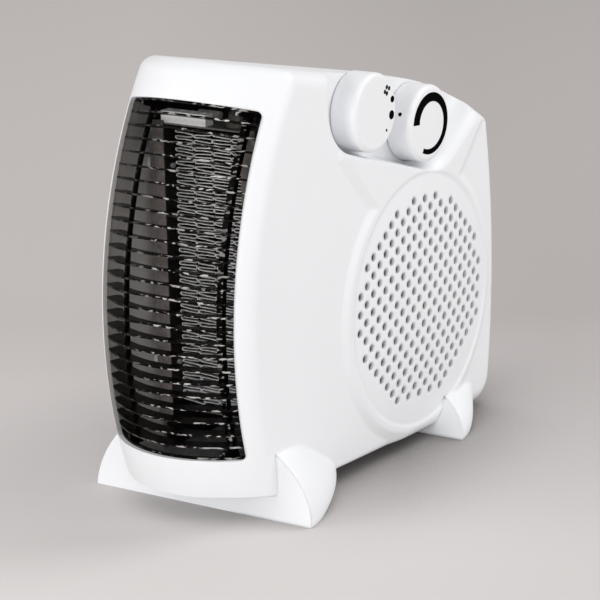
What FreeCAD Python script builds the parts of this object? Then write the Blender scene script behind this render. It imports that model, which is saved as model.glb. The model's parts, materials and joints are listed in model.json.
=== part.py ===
import FreeCAD
import Part
import Sketcher

import math
import os
import re

Vector = FreeCAD.Vector
Rotation = FreeCAD.Rotation
Placement = FreeCAD.Placement

doc = FreeCAD.newDocument("FanHeater")

# Driving dimensions in millimetres and degrees: +X is the intake side, -Y the hot air outlet, +Z up
SIZES = (
    ("half_width", 42.5, "middle plane to the flat casing side"),
    ("wall", 2.2, "casing wall"),
    ("body_floor", 8.2, "underside of the casing above the table at the origin"),
    ("floor_slope", 2.8, "rise of the underside to the front, degrees"),
    ("floor_tuck", 5.2, "how far the rounded edges would run on below the underside"),
    ("front_reach", 124.05, "origin to the foremost point of the barrel front"),
    ("rear_reach", 122.05, "origin to the rearmost point of the casing"),
    ("barrel_radius", 219.2, "radius of the barrel front in the side view, at the middle plane"),
    ("bow_radius", 52.0, "radius of the barrel front in plan"),
    ("bow_corner", 10.0, "rounded corner between the barrel front and a side"),
    ("barrel_height", 88.2, "height of the barrel front's axis"),
    ("top_height", 194.1, "height of the sloping top above the origin"),
    ("top_slope", 12.1, "fall of the top to the rear, degrees"),
    ("rear_radius", 425.0, "radius of the bowed rear wall"),
    ("rear_bulge_height", 78.0, "height of the rearmost point"),
    ("rear_top_round", 22.0, "corner between top and rear"),
    ("shoulder_radius", 120.0, "radius of the shoulder that falls away at the rear of the knob side"),
    ("shoulder_y", 70.0, "origin to the start of the shoulder on the middle plane"),
    ("shoulder_turn", 46.5, "direction of the shoulder's start across the top, degrees"),
    ("rear_bottom_round", 16.0, "corner between rear and underside"),
    ("edge_round", 8.0, "rounded edge round the flat sides and the barrel"),
    ("foot_half_width", 60.5, "middle plane to the tip of a foot"),
    ("foot_rise", 33.0, "height at which the front foot's fin dies into the side"),
    ("front_foot_toe", 86.95, "origin to the front edge of the front foot at the table"),
    ("front_foot_heel", 48.25, "origin to the rear edge of the front foot at the table"),
    ("front_foot_root", 31.25, "origin to the rear end of the front foot under the casing"),
    ("front_foot_hollow", 1.5, "backward bow of the front foot's front face"),
    ("rear_foot_rise", 19.0, "height at which the rear foot's fin dies into the side"),
    ("rear_foot_toe", 55.45, "origin to the front edge of the rear foot at the table"),
    ("rear_foot_heel", 86.75, "origin to the rear edge of the rear foot at the table"),
    ("rear_foot_root", 97.75, "origin to the rear end of the rear foot under the casing"),
    ("rear_foot_rake", 10.0, "backward lean of the rear foot's front face"),
    ("rear_foot_half_width", 58.5, "middle plane to the tip of the rear foot"),
    ("outlet_half_width", 36.6, "half width of the outlet"),
    ("outlet_bottom", 33.3, "height of the outlet's lower edge"),
    ("outlet_fan_angle", 19.0, "angle between the outlet's lower and upper edge planes, degrees"),
    ("slat_pivot", 376.75, "origin to the axis from which the slat planes fan out"),
    ("outlet_corner", 2.5, "corner radius of the outlet"),
    ("slat_count", 25, "slats in the grille"),
    ("slat_thickness", 0.9, "slat thickness"),
    ("slat_recess", 2.0, "slat front edge behind the casing's surface"),
    ("slat_depth", 7.5, "slat depth"),
    ("slat_end_depth", 8.0, "slat depth at its ends, which are cut straight back"),
    ("strut_depth", 2.0, "struts behind the slats"),
    ("grille_clearance", 0.25, "play between the grille and the casing"),
    ("grille_flange", 1.8, "thickness of the grille's flange behind the wall"),
    ("grille_overlap", 2.6, "flange behind the wall round the outlet"),
    ("strut_offset", 26.5, "middle plane to each upright strut"),
    ("strut_thickness", 2.0, "thickness of an upright strut"),
    ("fan_y", 41.65, "fan axis behind the origin"),
    ("fan_z", 74.6, "fan axis above the table"),
    ("intake_behind", 1.5, "centre of the intake behind the fan's axis"),
    ("intake_hole", 4.0, "intake hole diameter"),
    ("intake_step_level", 5.13, "half step of the staggered holes along a row"),
    ("intake_step_upright", 4.45, "half step of the staggered holes between rows"),
    ("intake_steps", 11.6, "half steps from the centre of the intake to its rim"),
    ("intake_turn", 4.3, "turn of the rows of holes down to the rear, degrees"),
    ("dish_radius", 64.3, "radius of the shallow dish round the intake"),
    ("dish_depth", 0.6, "depth of the dish"),
    ("dish_bevel", 1.6, "width of the dish's sloping edge"),
    ("dome_rise", 2.6, "height of the domed intake above the dish"),
    ("panel_raise", 1.6, "raised hourglass panel above the side"),
    ("panel_radius", 71.0, "round part of the panel"),
    ("panel_bevel", 4.6, "width of the panel's sloping edge"),
    ("panel_waist_angle", 48.65, "direction of the waist from the fan axis above the level, degrees"),
    ("panel_flare", 27.0, "widening of the neck above the waist"),
    ("panel_flare_rise", 29.0, "height over which the neck widens"),
    ("scoop_floor", 31.0, "middle plane to the floor of the knob scoop"),
    ("scoop_front_draft", 21.0, "widening of the scoop from floor to rim at its front"),
    ("scoop_low_draft", 3.0, "widening of the scoop from floor to rim at its lower side"),
    ("scoop_rear_draft", 15.0, "widening of the scoop from floor to rim at its rear"),
    ("scoop_left", 42.25, "origin to the front wall of the scoop"),
    ("scoop_low_y", 63.25, "origin to the lowest point of the scoop"),
    ("scoop_low_z", 133.8, "height of the lowest point of the scoop"),
    ("scoop_fall", 16.9, "slope of the scoop's lower rim, degrees"),
    ("scoop_climb", 30.0, "slope of the scoop's rear rim, degrees"),
    ("scoop_round", 26.0, "rounding of the scoop's outline"),
    ("switch_y", 0.95, "switch knob axis behind the origin"),
    ("switch_z", 176.2, "switch knob axis above the table"),
    ("thermostat_y", 50.75, "thermostat knob axis behind the origin"),
    ("thermostat_z", 161.8, "thermostat knob axis above the table"),
    ("knob_radius", 19.0, "knob radius"),
    ("knob_depth", 13.4, "knob length along its axis"),
    ("knob_gap", 0.4, "knob above the scoop's floor"),
    ("knob_clearance", 0.7, "room round a knob in the scoop"),
    ("knob_edge", 2.4, "rounded edge of a knob's face"),
    ("knob_wall", 2.0, "knob skirt and face wall"),
    ("knob_boss_radius", 5.5, "socket inside a knob"),
    ("spindle_radius", 3.0, "switch and thermostat spindle"),
    ("spindle_grip", 9.0, "length of a spindle inside its knob"),
    ("running_fit", 0.08, "radial play of a turning shaft"),
    ("switch_radius", 13.0, "rotary switch body"),
    ("switch_length", 16.0, "rotary switch body along its axis"),
    ("tab_length", 7.0, "terminal tab length"),
    ("tab_width", 4.8, "terminal tab width"),
    ("tab_thickness", 0.8, "terminal tab thickness"),
    ("thermostat_width", 30.0, "thermostat frame width"),
    ("thermostat_height", 22.0, "thermostat frame height"),
    ("thermostat_length", 14.0, "thermostat frame along its axis"),
    ("control_screw_offset", 9.5, "control axis to each of its two fixing screws"),
    ("small_screw_radius", 1.4, "small screw shank"),
    ("small_head_radius", 2.6, "small screw head"),
    ("small_head_height", 1.2, "small screw head height"),
    ("small_screw_length", 8.0, "small screw shank length"),
    ("screw_fit", 0.05, "radial play of a screw in its hole"),
    ("case_screw_radius", 2.0, "casing screw shank"),
    ("case_head_radius", 3.8, "casing screw head"),
    ("case_head_height", 2.5, "casing screw head height"),
    ("case_screw_seat", 34.0, "middle plane to the seat of a casing screw head"),
    ("case_screw_reach", 12.0, "casing screw past the middle plane"),
    ("case_boss_radius", 5.0, "casing boss"),
    ("case_bore_play", 0.4, "room round a casing screw head"),
    ("shaft_radius", 2.5, "motor shaft"),
    ("shaft_left", 37.0, "middle plane to the motor end of the shaft"),
    ("shaft_right", 28.0, "middle plane to the fan end of the shaft"),
    ("impeller_radius", 48.0, "impeller radius"),
    ("impeller_back", 8.0, "middle plane to the back disc of the impeller"),
    ("impeller_front", 36.0, "middle plane to the front ring of the impeller"),
    ("impeller_sheet", 1.5, "impeller disc and ring thickness"),
    ("blade_count", 26, "impeller blades"),
    ("blade_inner_radius", 37.0, "inner ends of the blades"),
    ("blade_thickness", 1.3, "blade thickness"),
    ("blade_lean", 14.0, "forward turn of a blade from its inner to its outer end, degrees"),
    ("hub_radius", 7.0, "impeller hub"),
    ("hub_length", 14.0, "impeller hub length"),
    ("nut_radius", 5.5, "impeller retaining nut"),
    ("nut_height", 3.2, "impeller retaining nut height"),
    ("core_right", 8.0, "middle plane to the core's right face, on the left side"),
    ("core_stack", 18.0, "thickness of the laminated core"),
    ("core_half_height", 24.0, "half height of the core"),
    ("core_front", 22.0, "fan axis to the core's front face"),
    ("core_leg_inner", 34.0, "fan axis to the inner face of the coil leg"),
    ("core_rear", 44.0, "fan axis to the outer face of the coil leg"),
    ("core_window_front", 18.0, "fan axis to the front edge of the coil window"),
    ("core_window_half", 14.0, "half height of the coil window"),
    ("rotor_radius", 13.0, "rotor radius"),
    ("rotor_gap", 0.4, "air gap round the rotor"),
    ("bobbin_flange", 1.5, "bobbin flange thickness"),
    ("bobbin_wall", 1.0, "bobbin tube wall"),
    ("coil_build", 8.0, "winding thickness round the bobbin"),
    ("bridge_leg", 7.0, "height of a bearing bridge over the core"),
    ("bridge_sheet", 2.0, "bearing bridge thickness"),
    ("bridge_width", 15.0, "bearing bridge width"),
    ("motor_screw_offset", 19.0, "fan axis to each motor screw"),
    ("motor_screw_radius", 2.0, "motor screw shank"),
    ("bearing_radius", 5.0, "bearing bush outer radius"),
    ("bearing_length", 6.0, "bearing bush length"),
    ("bearing_cup_wall", 1.6, "wall of the cup that holds a bearing bush"),
    ("partition_thickness", 2.0, "partition plate thickness"),
    ("partition_left", 3.0, "middle plane to the motor side of the partition plate"),
    ("scroll_radius", 56.0, "inner radius of the fan's scroll wall"),
    ("scroll_wall", 2.0, "scroll wall thickness"),
    ("partition_margin", 4.0, "partition plate beyond the scroll wall"),
    ("ear_radius", 6.0, "ear of the partition plate"),
    ("post_radius", 4.0, "post under a partition ear"),
    ("post_circle", 63.5, "fan axis to each partition post"),
    ("element_front", 77.25, "origin to the front lips of the element"),
    ("element_rear", 55.25, "origin to the rear of the element"),
    ("element_half_width", 29.4, "middle plane to the outer face of a side board"),
    ("element_bottom", 38.0, "lower end of the side boards"),
    ("element_top", 181.0, "upper end of the side boards"),
    ("mica_sheet", 0.8, "mica board thickness"),
    ("board_lip", 8.0, "front lip of a side board"),
    ("cross_board_count", 4, "cross boards between the side boards"),
    ("ribbon_front", 70.05, "origin to the front of the heating ribbon"),
    ("ribbon_width", 2.0, "heating ribbon width"),
    ("ribbon_thickness", 0.5, "heating ribbon thickness"),
    ("ribbon_rest", 0.3, "ribbon in front of the cross boards that carry it"),
    ("ribbon_turns", 22, "bends in one column of ribbon"),
    ("ribbon_half_run", 2.2, "half length of a straight run of ribbon"),
    ("ribbon_column", 12.0, "distance between columns of ribbon"),
    ("ribbon_margin", 5.0, "ribbon to the lowest and highest cross boards"),
    ("locating_post_radius", 3.5, "post that carries a side board"),
    ("locating_pin_radius", 1.2, "pin through a side board"),
    ("locating_pin_length", 2.0, "pin beyond the post"),
    ("strip_length", 25.0, "ceramic terminal strip length"),
    ("strip_left", 23.0, "middle plane to the left end of the ceramic strip"),
    ("strip_depth", 6.0, "ceramic strip depth"),
    ("strip_height", 5.5, "ceramic strip height"),
    ("cutout_radius", 7.0, "thermal cut-out radius"),
    ("cutout_cap_radius", 5.6, "thermal cut-out cap radius"),
    ("cutout_height", 6.0, "thermal cut-out height"),
    ("cutout_x", 14.0, "thermal cut-out right of the middle plane"),
    ("fuse_radius", 1.8, "thermal fuse radius"),
    ("fuse_length", 12.0, "thermal fuse length"),
    ("inlet_height", 26.0, "cord inlet above the table"),
    ("inlet_radius", 5.5, "cord bush neck radius"),
    ("inlet_bore", 3.3, "cord bush bore radius"),
    ("inlet_flange", 7.5, "cord bush flange radius"),
    ("inlet_flange_height", 2.0, "cord bush flange thickness"),
    ("inlet_length", 9.0, "cord bush neck length"),
    ("clamp_inset", 17.3, "rearmost point of the casing to the cord clamp"),
    ("clamp_half_span", 9.0, "cord axis to each clamp screw"),
    ("clamp_width", 8.0, "clamp bar width"),
    ("clamp_height", 3.0, "clamp bar thickness"),
    ("clamp_seat", 3.4, "middle plane to the seat of the clamp bar, beyond the cord"),
)

# Places of the casing screws in the side view: y, z
CASE_SCREWS = ((-41.25, 38.0), (-51.25, 192.0), (103.75, 139.0), (93.75, 28.0))
# Directions of the partition posts round the fan axis, degrees from the rear towards the top
POST_ANGLES = (10.0, 150.0, 230.0)
# Places of the two posts on each side that carry the heating element: y, z
ELEMENT_POSTS = ((-62.25, 60.0), (-62.25, 156.0))

sheet = doc.addObject("Spreadsheet::Sheet", "Dim")
for row, (alias, value, note) in enumerate(SIZES, 1):
    sheet.set(f"A{row}", alias)
    sheet.set(f"B{row}", str(value))
    sheet.set(f"C{row}", note)
    sheet.setAlias(f"B{row}", alias)
doc.recompute()
ALIASES = {alias for alias, _, _ in SIZES}
# Beyond the whole casing, and beyond any one wall
FAR = 400.0
PAST = 80.0


def size(alias):
    return float(sheet.get(alias))


def bind(text):
    """Expression text with every sheet alias written as a reference to the sheet."""
    def reference(match):
        word = match.group(0)
        return "Dim." + word if word in ALIASES else word

    return re.sub(r"[a-z_]+", reference, str(text))


def place(obj, x, y, z, rotation=Rotation()):
    obj.Placement = Placement(Vector(), rotation)
    obj.setExpression("Placement.Base.x", bind(x))
    obj.setExpression("Placement.Base.y", bind(y))
    obj.setExpression("Placement.Base.z", bind(z))
    return obj


def box(name, x, y, z):
    """Box between pairs of expressions along each axis."""
    obj = doc.addObject("Part::Box", name)
    obj.setExpression("Length", bind(f"({x[1]}) - ({x[0]})"))
    obj.setExpression("Width", bind(f"({y[1]}) - ({y[0]})"))
    obj.setExpression("Height", bind(f"({z[1]}) - ({z[0]})"))
    return place(obj, x[0], y[0], z[0])


TURN_TO_X = Rotation(Vector(0, 1, 0), 90)
TURN_TO_Y = Rotation(Vector(1, 0, 0), -90)


def rod_x(name, radius, x, y, z):
    """Round bar along X between a pair of expressions."""
    obj = doc.addObject("Part::Cylinder", name)
    obj.setExpression("Radius", bind(radius))
    obj.setExpression("Height", bind(f"({x[1]}) - ({x[0]})"))
    return place(obj, x[0], y, z, TURN_TO_X)


def rod_y(name, radius, x, y, z):
    """Round bar along Y between a pair of expressions."""
    obj = doc.addObject("Part::Cylinder", name)
    obj.setExpression("Radius", bind(radius))
    obj.setExpression("Height", bind(f"({y[1]}) - ({y[0]})"))
    return place(obj, x, y[0], z, TURN_TO_Y)


def rod_z(name, radius, x, y, z):
    """Round bar along Z between a pair of expressions."""
    obj = doc.addObject("Part::Cylinder", name)
    obj.setExpression("Radius", bind(radius))
    obj.setExpression("Height", bind(f"({z[1]}) - ({z[0]})"))
    return place(obj, x, y, z[0])


def fuse(name, *pieces):
    obj = doc.addObject("Part::MultiFuse", name)
    obj.Shapes = list(pieces)
    obj.Refine = True
    return obj


def cut(name, base, *tools):
    obj = doc.addObject("Part::Cut", name)
    obj.Base = base
    obj.Tool = tools[0] if len(tools) == 1 else fuse(name + "_tool", *tools)
    obj.Refine = True
    return obj


def group(name, pieces):
    obj = doc.addObject("Part::Compound", name)
    obj.Links = pieces
    return obj


def feature(name, shape):
    obj = doc.addObject("Part::Feature", name)
    obj.Shape = shape
    return obj


def yz(y, z, x=0.0):
    return Vector(x, y, z)


def block(x0, x1, y0, y1, z0, z1):
    return Part.makeBox(x1 - x0, y1 - y0, z1 - z0, Vector(x0, y0, z0))


def solid_rod_x(radius, x0, x1, y, z):
    return Part.makeCylinder(radius, x1 - x0, Vector(x0, y, z), Vector(1, 0, 0))


# Casing form


LEAST_CORNER = 0.5


def barrel_axis():
    return size("barrel_radius") - size("front_reach")


def barrel(inset):
    """Solid turned about the barrel axis: bowed front that runs through rounded corners into flat sides."""
    half = size("half_width") - inset
    bow = size("bow_radius") - inset
    corner = max(size("bow_corner") - inset, LEAST_CORNER)
    level = size("barrel_height")
    centre = size("bow_radius") - size("front_reach")
    # Centre of the corner, and where the corner leaves the bow
    across = half - corner
    ahead = math.sqrt((bow - corner) ** 2 - across ** 2)
    turn = math.atan2(across, ahead)
    midway = (turn + math.pi / 2) / 2

    def at(x, forward):
        return Vector(x, centre - forward, level)

    def outline_half(side):
        leave = at(side * bow * math.sin(turn), bow * math.cos(turn))
        middle = at(side * (across + corner * math.sin(midway)), ahead + corner * math.cos(midway))
        end = at(side * half, ahead)
        return leave, middle, end

    right = outline_half(1)
    left = outline_half(-1)
    axis = Vector(0, barrel_axis(), level)
    right_end = Vector(half, axis.y, level)
    left_end = Vector(-half, axis.y, level)
    outline = Part.Wire([
        Part.LineSegment(left_end, left[2]).toShape(),
        Part.Arc(left[2], left[1], left[0]).toShape(),
        Part.Arc(left[0], at(0, bow), right[0]).toShape(),
        Part.Arc(right[0], right[1], right[2]).toShape(),
        Part.LineSegment(right[2], right_end).toShape(),
        Part.LineSegment(right_end, left_end).toShape(),
    ])
    return Part.Face(outline).revolve(axis, Vector(1, 0, 0), 360)


def ring_cylinder(radius):
    """Round bar about the barrel axis."""
    return solid_rod_x(radius, -size("half_width"), size("half_width"), barrel_axis(), size("barrel_height"))


def side_prism(inset, half):
    """Side view of the casing drawn across its width; the front runs on past the barrel."""
    floor = size("body_floor") - size("floor_tuck") + inset
    slope = math.radians(size("top_slope"))
    top = size("top_height") - inset / math.cos(slope)
    radius = size("rear_radius") - inset
    centre = (size("rear_reach") - size("rear_radius"), size("rear_bulge_height"))
    fall = math.tan(slope)
    # Crossing of the sloping top with the bowed rear
    a = 1 + fall * fall
    b = -2 * centre[0] - 2 * fall * (top - centre[1])
    c = centre[0] ** 2 + (top - centre[1]) ** 2 - radius ** 2
    corner_y = (-b + math.sqrt(b * b - 4 * a * c)) / (2 * a)
    corner = yz(corner_y, top - fall * corner_y)
    heel = yz(centre[0] + math.sqrt(radius ** 2 - (floor - centre[1]) ** 2), floor)
    bulge = yz(centre[0] + radius, centre[1])
    ahead = -size("front_reach") - size("edge_round")
    outline = Part.Wire([
        Part.LineSegment(yz(ahead, floor), heel).toShape(),
        Part.Arc(heel, bulge, corner).toShape(),
        Part.LineSegment(corner, yz(ahead, top - fall * ahead)).toShape(),
        Part.LineSegment(yz(ahead, top - fall * ahead), yz(ahead, floor)).toShape(),
    ])
    prism = Part.Face(outline).extrude(Vector(2 * half, 0, 0))
    prism.translate(Vector(-half, 0, 0))
    for point, alias in ((corner, "rear_top_round"), (heel, "rear_bottom_round")):
        edges = [e for e in prism.Edges if e.CenterOfMass.distanceToPoint(point) < 0.01]
        prism = prism.makeFillet(size(alias) - inset, edges)
    return prism


def shoulder_tool(inset):
    """What the shoulder takes off: everything beyond its start and outside its round."""
    slope = math.radians(size("top_slope"))
    turn = math.radians(size("shoulder_turn"))
    normal = Vector(0, math.sin(slope), math.cos(slope))
    along = Vector(math.cos(turn), -math.sin(turn), math.sin(turn) * math.tan(slope))
    along.normalize()
    beyond = normal.cross(along)
    start = Vector(0, size("shoulder_y"), size("top_height") - math.tan(slope) * size("shoulder_y"))
    axis = start - normal * size("shoulder_radius")
    corner = axis - along * FAR
    outline = Part.makePolygon([corner, corner + beyond * FAR, corner + (beyond + normal) * FAR,
                                corner + normal * FAR, corner])
    slab = Part.Face(outline).extrude(along * (2 * FAR))
    radius = size("shoulder_radius") - inset
    return slab.cut(Part.makeCylinder(radius, 4 * FAR, axis - along * (2 * FAR), along))


def is_flank(face):
    """Flat casing sides and the barrel: the faces that the rounded edge borders."""
    surface = face.Surface
    if isinstance(surface, Part.Plane):
        return abs(surface.Axis.x) > 0.99
    return not isinstance(surface, Part.Cylinder)


def casing_solid(inset, raise_by=0.0):
    """Whole casing, inset all round, with its sides raised outwards."""
    prism = side_prism(inset, size("half_width") - inset + raise_by)
    body = prism.common(barrel(inset - raise_by)).cut(shoulder_tool(inset))
    rim = []
    for edge in body.Edges:
        faces = body.ancestorsOfType(edge, Part.Face)
        if len(faces) == 2 and is_flank(faces[0]) != is_flank(faces[1]):
            rim.append(edge)
    rounded = body.makeFillet(size("edge_round") - inset, rim)
    above_floor = block(-FAR, FAR, -FAR, FAR, 0, FAR)
    above_floor.rotate(Vector(), Vector(1, 0, 0), -size("floor_slope"))
    above_floor.translate(Vector(0, 0, size("body_floor") + inset))
    return rounded.common(above_floor)


def foot_section(level, toe, tip, middle, root, rear):
    """Half plan of a foot at one level: straight front edge, bowed outer edge."""
    halfway = Vector(middle, (toe + rear) / 2, level)
    outer_edge = Part.Arc(Vector(tip, toe, level), halfway, Vector(root, rear, level))
    return Part.Wire([
        Part.LineSegment(Vector(0, toe, level), Vector(tip, toe, level)).toShape(),
        outer_edge.toShape(),
        Part.LineSegment(Vector(root, rear, level), Vector(0, rear, level)).toShape(),
        Part.LineSegment(Vector(0, rear, level), Vector(0, toe, level)).toShape(),
    ])


FOOT_LEVELS = (0.0, 0.33, 0.66, 1.0)
FIN_BOW = 0.74
FIN_CLOSE = 0.7


def half_foot(rise, half_width, toe_at, rear_at):
    """Right half of a foot: fin that flares from the casing side down to the table."""
    root = size("half_width") - size("wall") / 2
    sections = []
    for part in FOOT_LEVELS:
        flare = (half_width - root) * (1 - part * part) + size("wall") / 2
        sections.append(foot_section(rise * part, toe_at(part), root + flare, root + FIN_BOW * flare, root,
                                     rear_at(part)))
    return Part.makeLoft(sections, True, False)


def front_half_foot():
    rise = size("foot_rise")
    under = size("body_floor") / rise

    def toe_at(part):
        return -size("front_foot_toe") + 4 * size("front_foot_hollow") * part * (1 - part)

    def rear_at(part):
        if part < under:
            return -size("front_foot_heel")
        length = size("front_foot_toe") - size("front_foot_root")
        return -size("front_foot_root") - (part - under) * length * FIN_CLOSE

    return half_foot(rise, size("foot_half_width"), toe_at, rear_at)


def rear_half_foot():
    def toe_at(part):
        return size("rear_foot_toe") + size("rear_foot_rake") * part

    def rear_at(part):
        return size("rear_foot_heel") + (size("rear_foot_root") - size("rear_foot_heel")) * min(1.0, 2 * part)

    return half_foot(size("rear_foot_rise"), size("rear_foot_half_width"), toe_at, rear_at)


def rounded_polygon(points, radii, x):
    """Closed outline in a side plane with each corner rounded by its own radius."""
    edges = []
    ends = []
    count = len(points)
    for i in range(count):
        here = Vector(x, *points[i])
        before = Vector(x, *points[i - 1]) - here
        after = Vector(x, *points[(i + 1) % count]) - here
        before.normalize()
        after.normalize()
        if radii[i] == 0:
            ends.append((here, here))
            continue
        half_angle = before.getAngle(after) / 2
        setback = radii[i] / math.tan(half_angle)
        bisector = before + after
        bisector.normalize()
        centre = here + bisector * (radii[i] / math.sin(half_angle))
        middle = centre - bisector * radii[i]
        start = here + before * setback
        end = here + after * setback
        edges.append((i, Part.Arc(start, middle, end).toShape()))
        ends.append((start, end))
    arcs = dict(edges)
    ordered = []
    for i in range(count):
        if i in arcs:
            ordered.append(arcs[i])
        ordered.append(Part.LineSegment(ends[i][1], ends[(i + 1) % count][0]).toShape())
    return Part.Wire(ordered)


def scoop_outline(share, grow, x):
    """Knob scoop in the side view, from its floor (share 0) to its rim (share 1), grown all round."""
    fall = math.radians(size("scoop_fall"))
    climb = math.radians(size("scoop_climb"))
    inset = 1 - share
    left = -size("scoop_left") + size("scoop_front_draft") * inset - grow
    # Height of the lower and the rear side above the rim's lowest point
    lower = (size("scoop_low_draft") * inset - grow) / math.cos(fall)
    rear = (size("scoop_rear_draft") * inset - grow) / math.cos(climb)
    low_y = size("scoop_low_y") + (lower - rear) / (math.tan(fall) + math.tan(climb))
    low_z = size("scoop_low_z") + lower - (low_y - size("scoop_low_y")) * math.tan(fall)
    above = size("top_height") + 60
    front_corner = (left, low_z + (low_y - left) * math.tan(fall))
    exit_y = low_y + (above - low_z) / math.tan(climb)
    points = (front_corner, (low_y, low_z), (exit_y, above), (left, above))
    radius = size("scoop_round") + grow
    return rounded_polygon(points, (radius, radius, 0, 0), x)


SCOOP_STEPS = (0.0, 0.25, 0.5, 0.75, 1.0, 1.15)
SCOOP_BOW = 0.7


def scoop_solid(grow):
    """Recess for the knobs: a bowl whose walls leave the floor softly and roll over at the rim."""
    depth = size("half_width") + size("panel_raise") - size("scoop_floor")
    wires = []
    for step in SCOOP_STEPS:
        share = step + SCOOP_BOW * math.sin(2 * math.pi * step) / (2 * math.pi)
        wires.append(scoop_outline(share, grow, size("scoop_floor") - grow + depth * step))
    return Part.makeLoft(wires, True, False)


def knob_places():
    return (size("switch_y"), size("switch_z")), (size("thermostat_y"), size("thermostat_z"))


def knob_rooms(grow):
    """Round room for each knob in the scoop, grown all round."""
    radius = size("knob_radius") + size("knob_clearance") + grow
    x0 = size("scoop_floor") - grow
    x1 = size("half_width") + size("panel_raise") + 1
    return Part.makeCompound([solid_rod_x(radius, x0, x1, y, z) for y, z in knob_places()])


def panel_prism():
    """Hourglass panel with sloping edges, from inside the casing wall to above the panel: round and neck."""
    x = size("half_width") - size("wall") / 2
    reach = size("half_width") + size("panel_raise") + 1 - x
    slope = size("panel_bevel") / size("panel_raise")
    centre = (size("fan_y"), size("fan_z"))
    radius = size("panel_radius")
    base_radius = radius + slope * size("wall") / 2
    disc = Part.makeCone(base_radius, base_radius - reach * slope, reach, Vector(x, *centre), Vector(1, 0, 0))
    waist = math.radians(size("panel_waist_angle"))
    waist_z = centre[1] + radius * math.sin(waist)
    front_y = centre[0] - radius * math.cos(waist)
    rear_y = centre[0] + radius * math.cos(waist)
    flare = size("panel_flare")
    flare_z = waist_z + size("panel_flare_rise")
    above = size("top_height")
    neck = (
        (front_y, waist_z),
        (front_y - flare, flare_z),
        (front_y - flare, above),
        (rear_y + flare, above),
        (rear_y + flare, flare_z),
        (rear_y, waist_z),
        centre,
    )
    base = Part.makePolygon([Vector(x, *p) for p in neck] + [Vector(x, *neck[0])])
    tip = base.makeOffset2D(-reach * slope, 2)
    tip.translate(Vector(reach, 0, 0))
    return disc.fuse(Part.makeLoft([base, tip], True, True))


def outlet_wedge(half, spread, grow_angle=0.0):
    """Wedge between the outlet's lower and upper planes, fanning forward from the slat pivot."""
    pivot_y = size("slat_pivot")
    near = pivot_y + size("element_rear") - 5
    far = pivot_y + size("front_reach") + 30
    low = math.radians(-grow_angle)
    high = math.radians(size("outlet_fan_angle") + grow_angle)
    points = [
        yz(pivot_y - reach, size("outlet_bottom") + reach * math.tan(angle), -half)
        for reach, angle in ((far, low), (near, low), (near, high), (far, high))
    ]
    wedge = Part.Face(Part.makePolygon(points + points[:1])).extrude(Vector(2 * half, 0, 0))
    if spread:
        runs = [e for e in wedge.Edges if abs(e.tangentAt(e.FirstParameter).x) < 0.01 and e.Length > 50
                and abs(abs(e.CenterOfMass.x) - half) < 0.01 and abs(e.tangentAt(e.FirstParameter).y) > 0.7]
        wedge = wedge.makeFillet(spread, runs)
    return wedge


# Middle of the intake between its holes, in half steps.
INTAKE_SHIFT = (-0.15, -0.64)


def intake_centre():
    return size("fan_y") + size("intake_behind"), size("fan_z")


def intake_points():
    """Centres of the intake holes: staggered rows, turned as a whole about the middle of the intake."""
    centre_y, centre_z = intake_centre()
    turn = math.radians(size("intake_turn"))
    reach = int(size("intake_steps")) + 1
    for row in range(-reach, reach + 1):
        for column in range(-reach, reach + 1):
            across, up = column + INTAKE_SHIFT[0], row + INTAKE_SHIFT[1]
            if (row + column) % 2 == 0 and math.hypot(across, up) <= size("intake_steps"):
                y, z = across * size("intake_step_level"), up * size("intake_step_upright")
                yield (centre_y + y * math.cos(turn) + z * math.sin(turn),
                       centre_z + z * math.cos(turn) - y * math.sin(turn))


def dish_floor():
    return size("half_width") + size("panel_raise") - size("dish_depth")


def intake_dome(inset):
    """Domed intake inside the dish, inset all round."""
    reach = size("dish_radius") - size("dish_bevel")
    rise = size("dome_rise")
    radius = (reach ** 2 + rise ** 2) / (2 * rise)
    centre = Vector(dish_floor() + rise - radius, *intake_centre())
    back = size("half_width") - size("wall") - 1
    drum = solid_rod_x(reach - inset, back, back + PAST, *intake_centre())
    return drum.common(Part.makeSphere(radius - inset, centre))


def intake_holes():
    """All intake holes, through the wall."""
    x0 = size("half_width") - size("wall") - 1
    x1 = dish_floor() + size("dome_rise") + 1
    radius = size("intake_hole") / 2
    return Part.makeCompound([solid_rod_x(radius, x0, x1, y, z) for y, z in intake_points()])


# Where the round wall of the scroll starts: degrees from the rear over the top
SCROLL_MOUTH = 125.0


def scroll_rib():
    """Fan scroll: round wall behind the impeller that opens to the front, with a straight floor and lip."""
    inner = size("scroll_radius")
    outer = inner + size("scroll_wall")
    x0 = size("partition_left") + size("partition_thickness")
    x1 = size("half_width")
    y, z = size("fan_y"), size("fan_z")
    ring = solid_rod_x(outer, x0, x1, y, z).cut(solid_rod_x(inner, x0, x1, y, z))
    start = math.radians(SCROLL_MOUTH)
    mouth = [
        yz(y, z, x0),
        yz(y + FAR * math.cos(start), z + FAR * math.sin(start), x0),
        yz(y - FAR, z - FAR, x0),
        yz(y, z - FAR, x0),
    ]
    opening = Part.Face(Part.makePolygon(mouth + mouth[:1])).extrude(Vector(x1 - x0, 0, 0))
    floor = block(x0, x1, y - inner, y, z - outer, z - inner)
    return ring.cut(opening).fuse(floor)


def right_of_middle(shape):
    return shape.common(block(0, FAR, -FAR, FAR, -FAR, FAR))


def left_of_middle(shape):
    return shape.common(block(-FAR, 0, -FAR, FAR, -FAR, FAR))


def rear_wall_at(level):
    drop = level - size("rear_bulge_height")
    return size("rear_reach") - size("rear_radius") + math.sqrt(size("rear_radius") ** 2 - drop ** 2)


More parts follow.
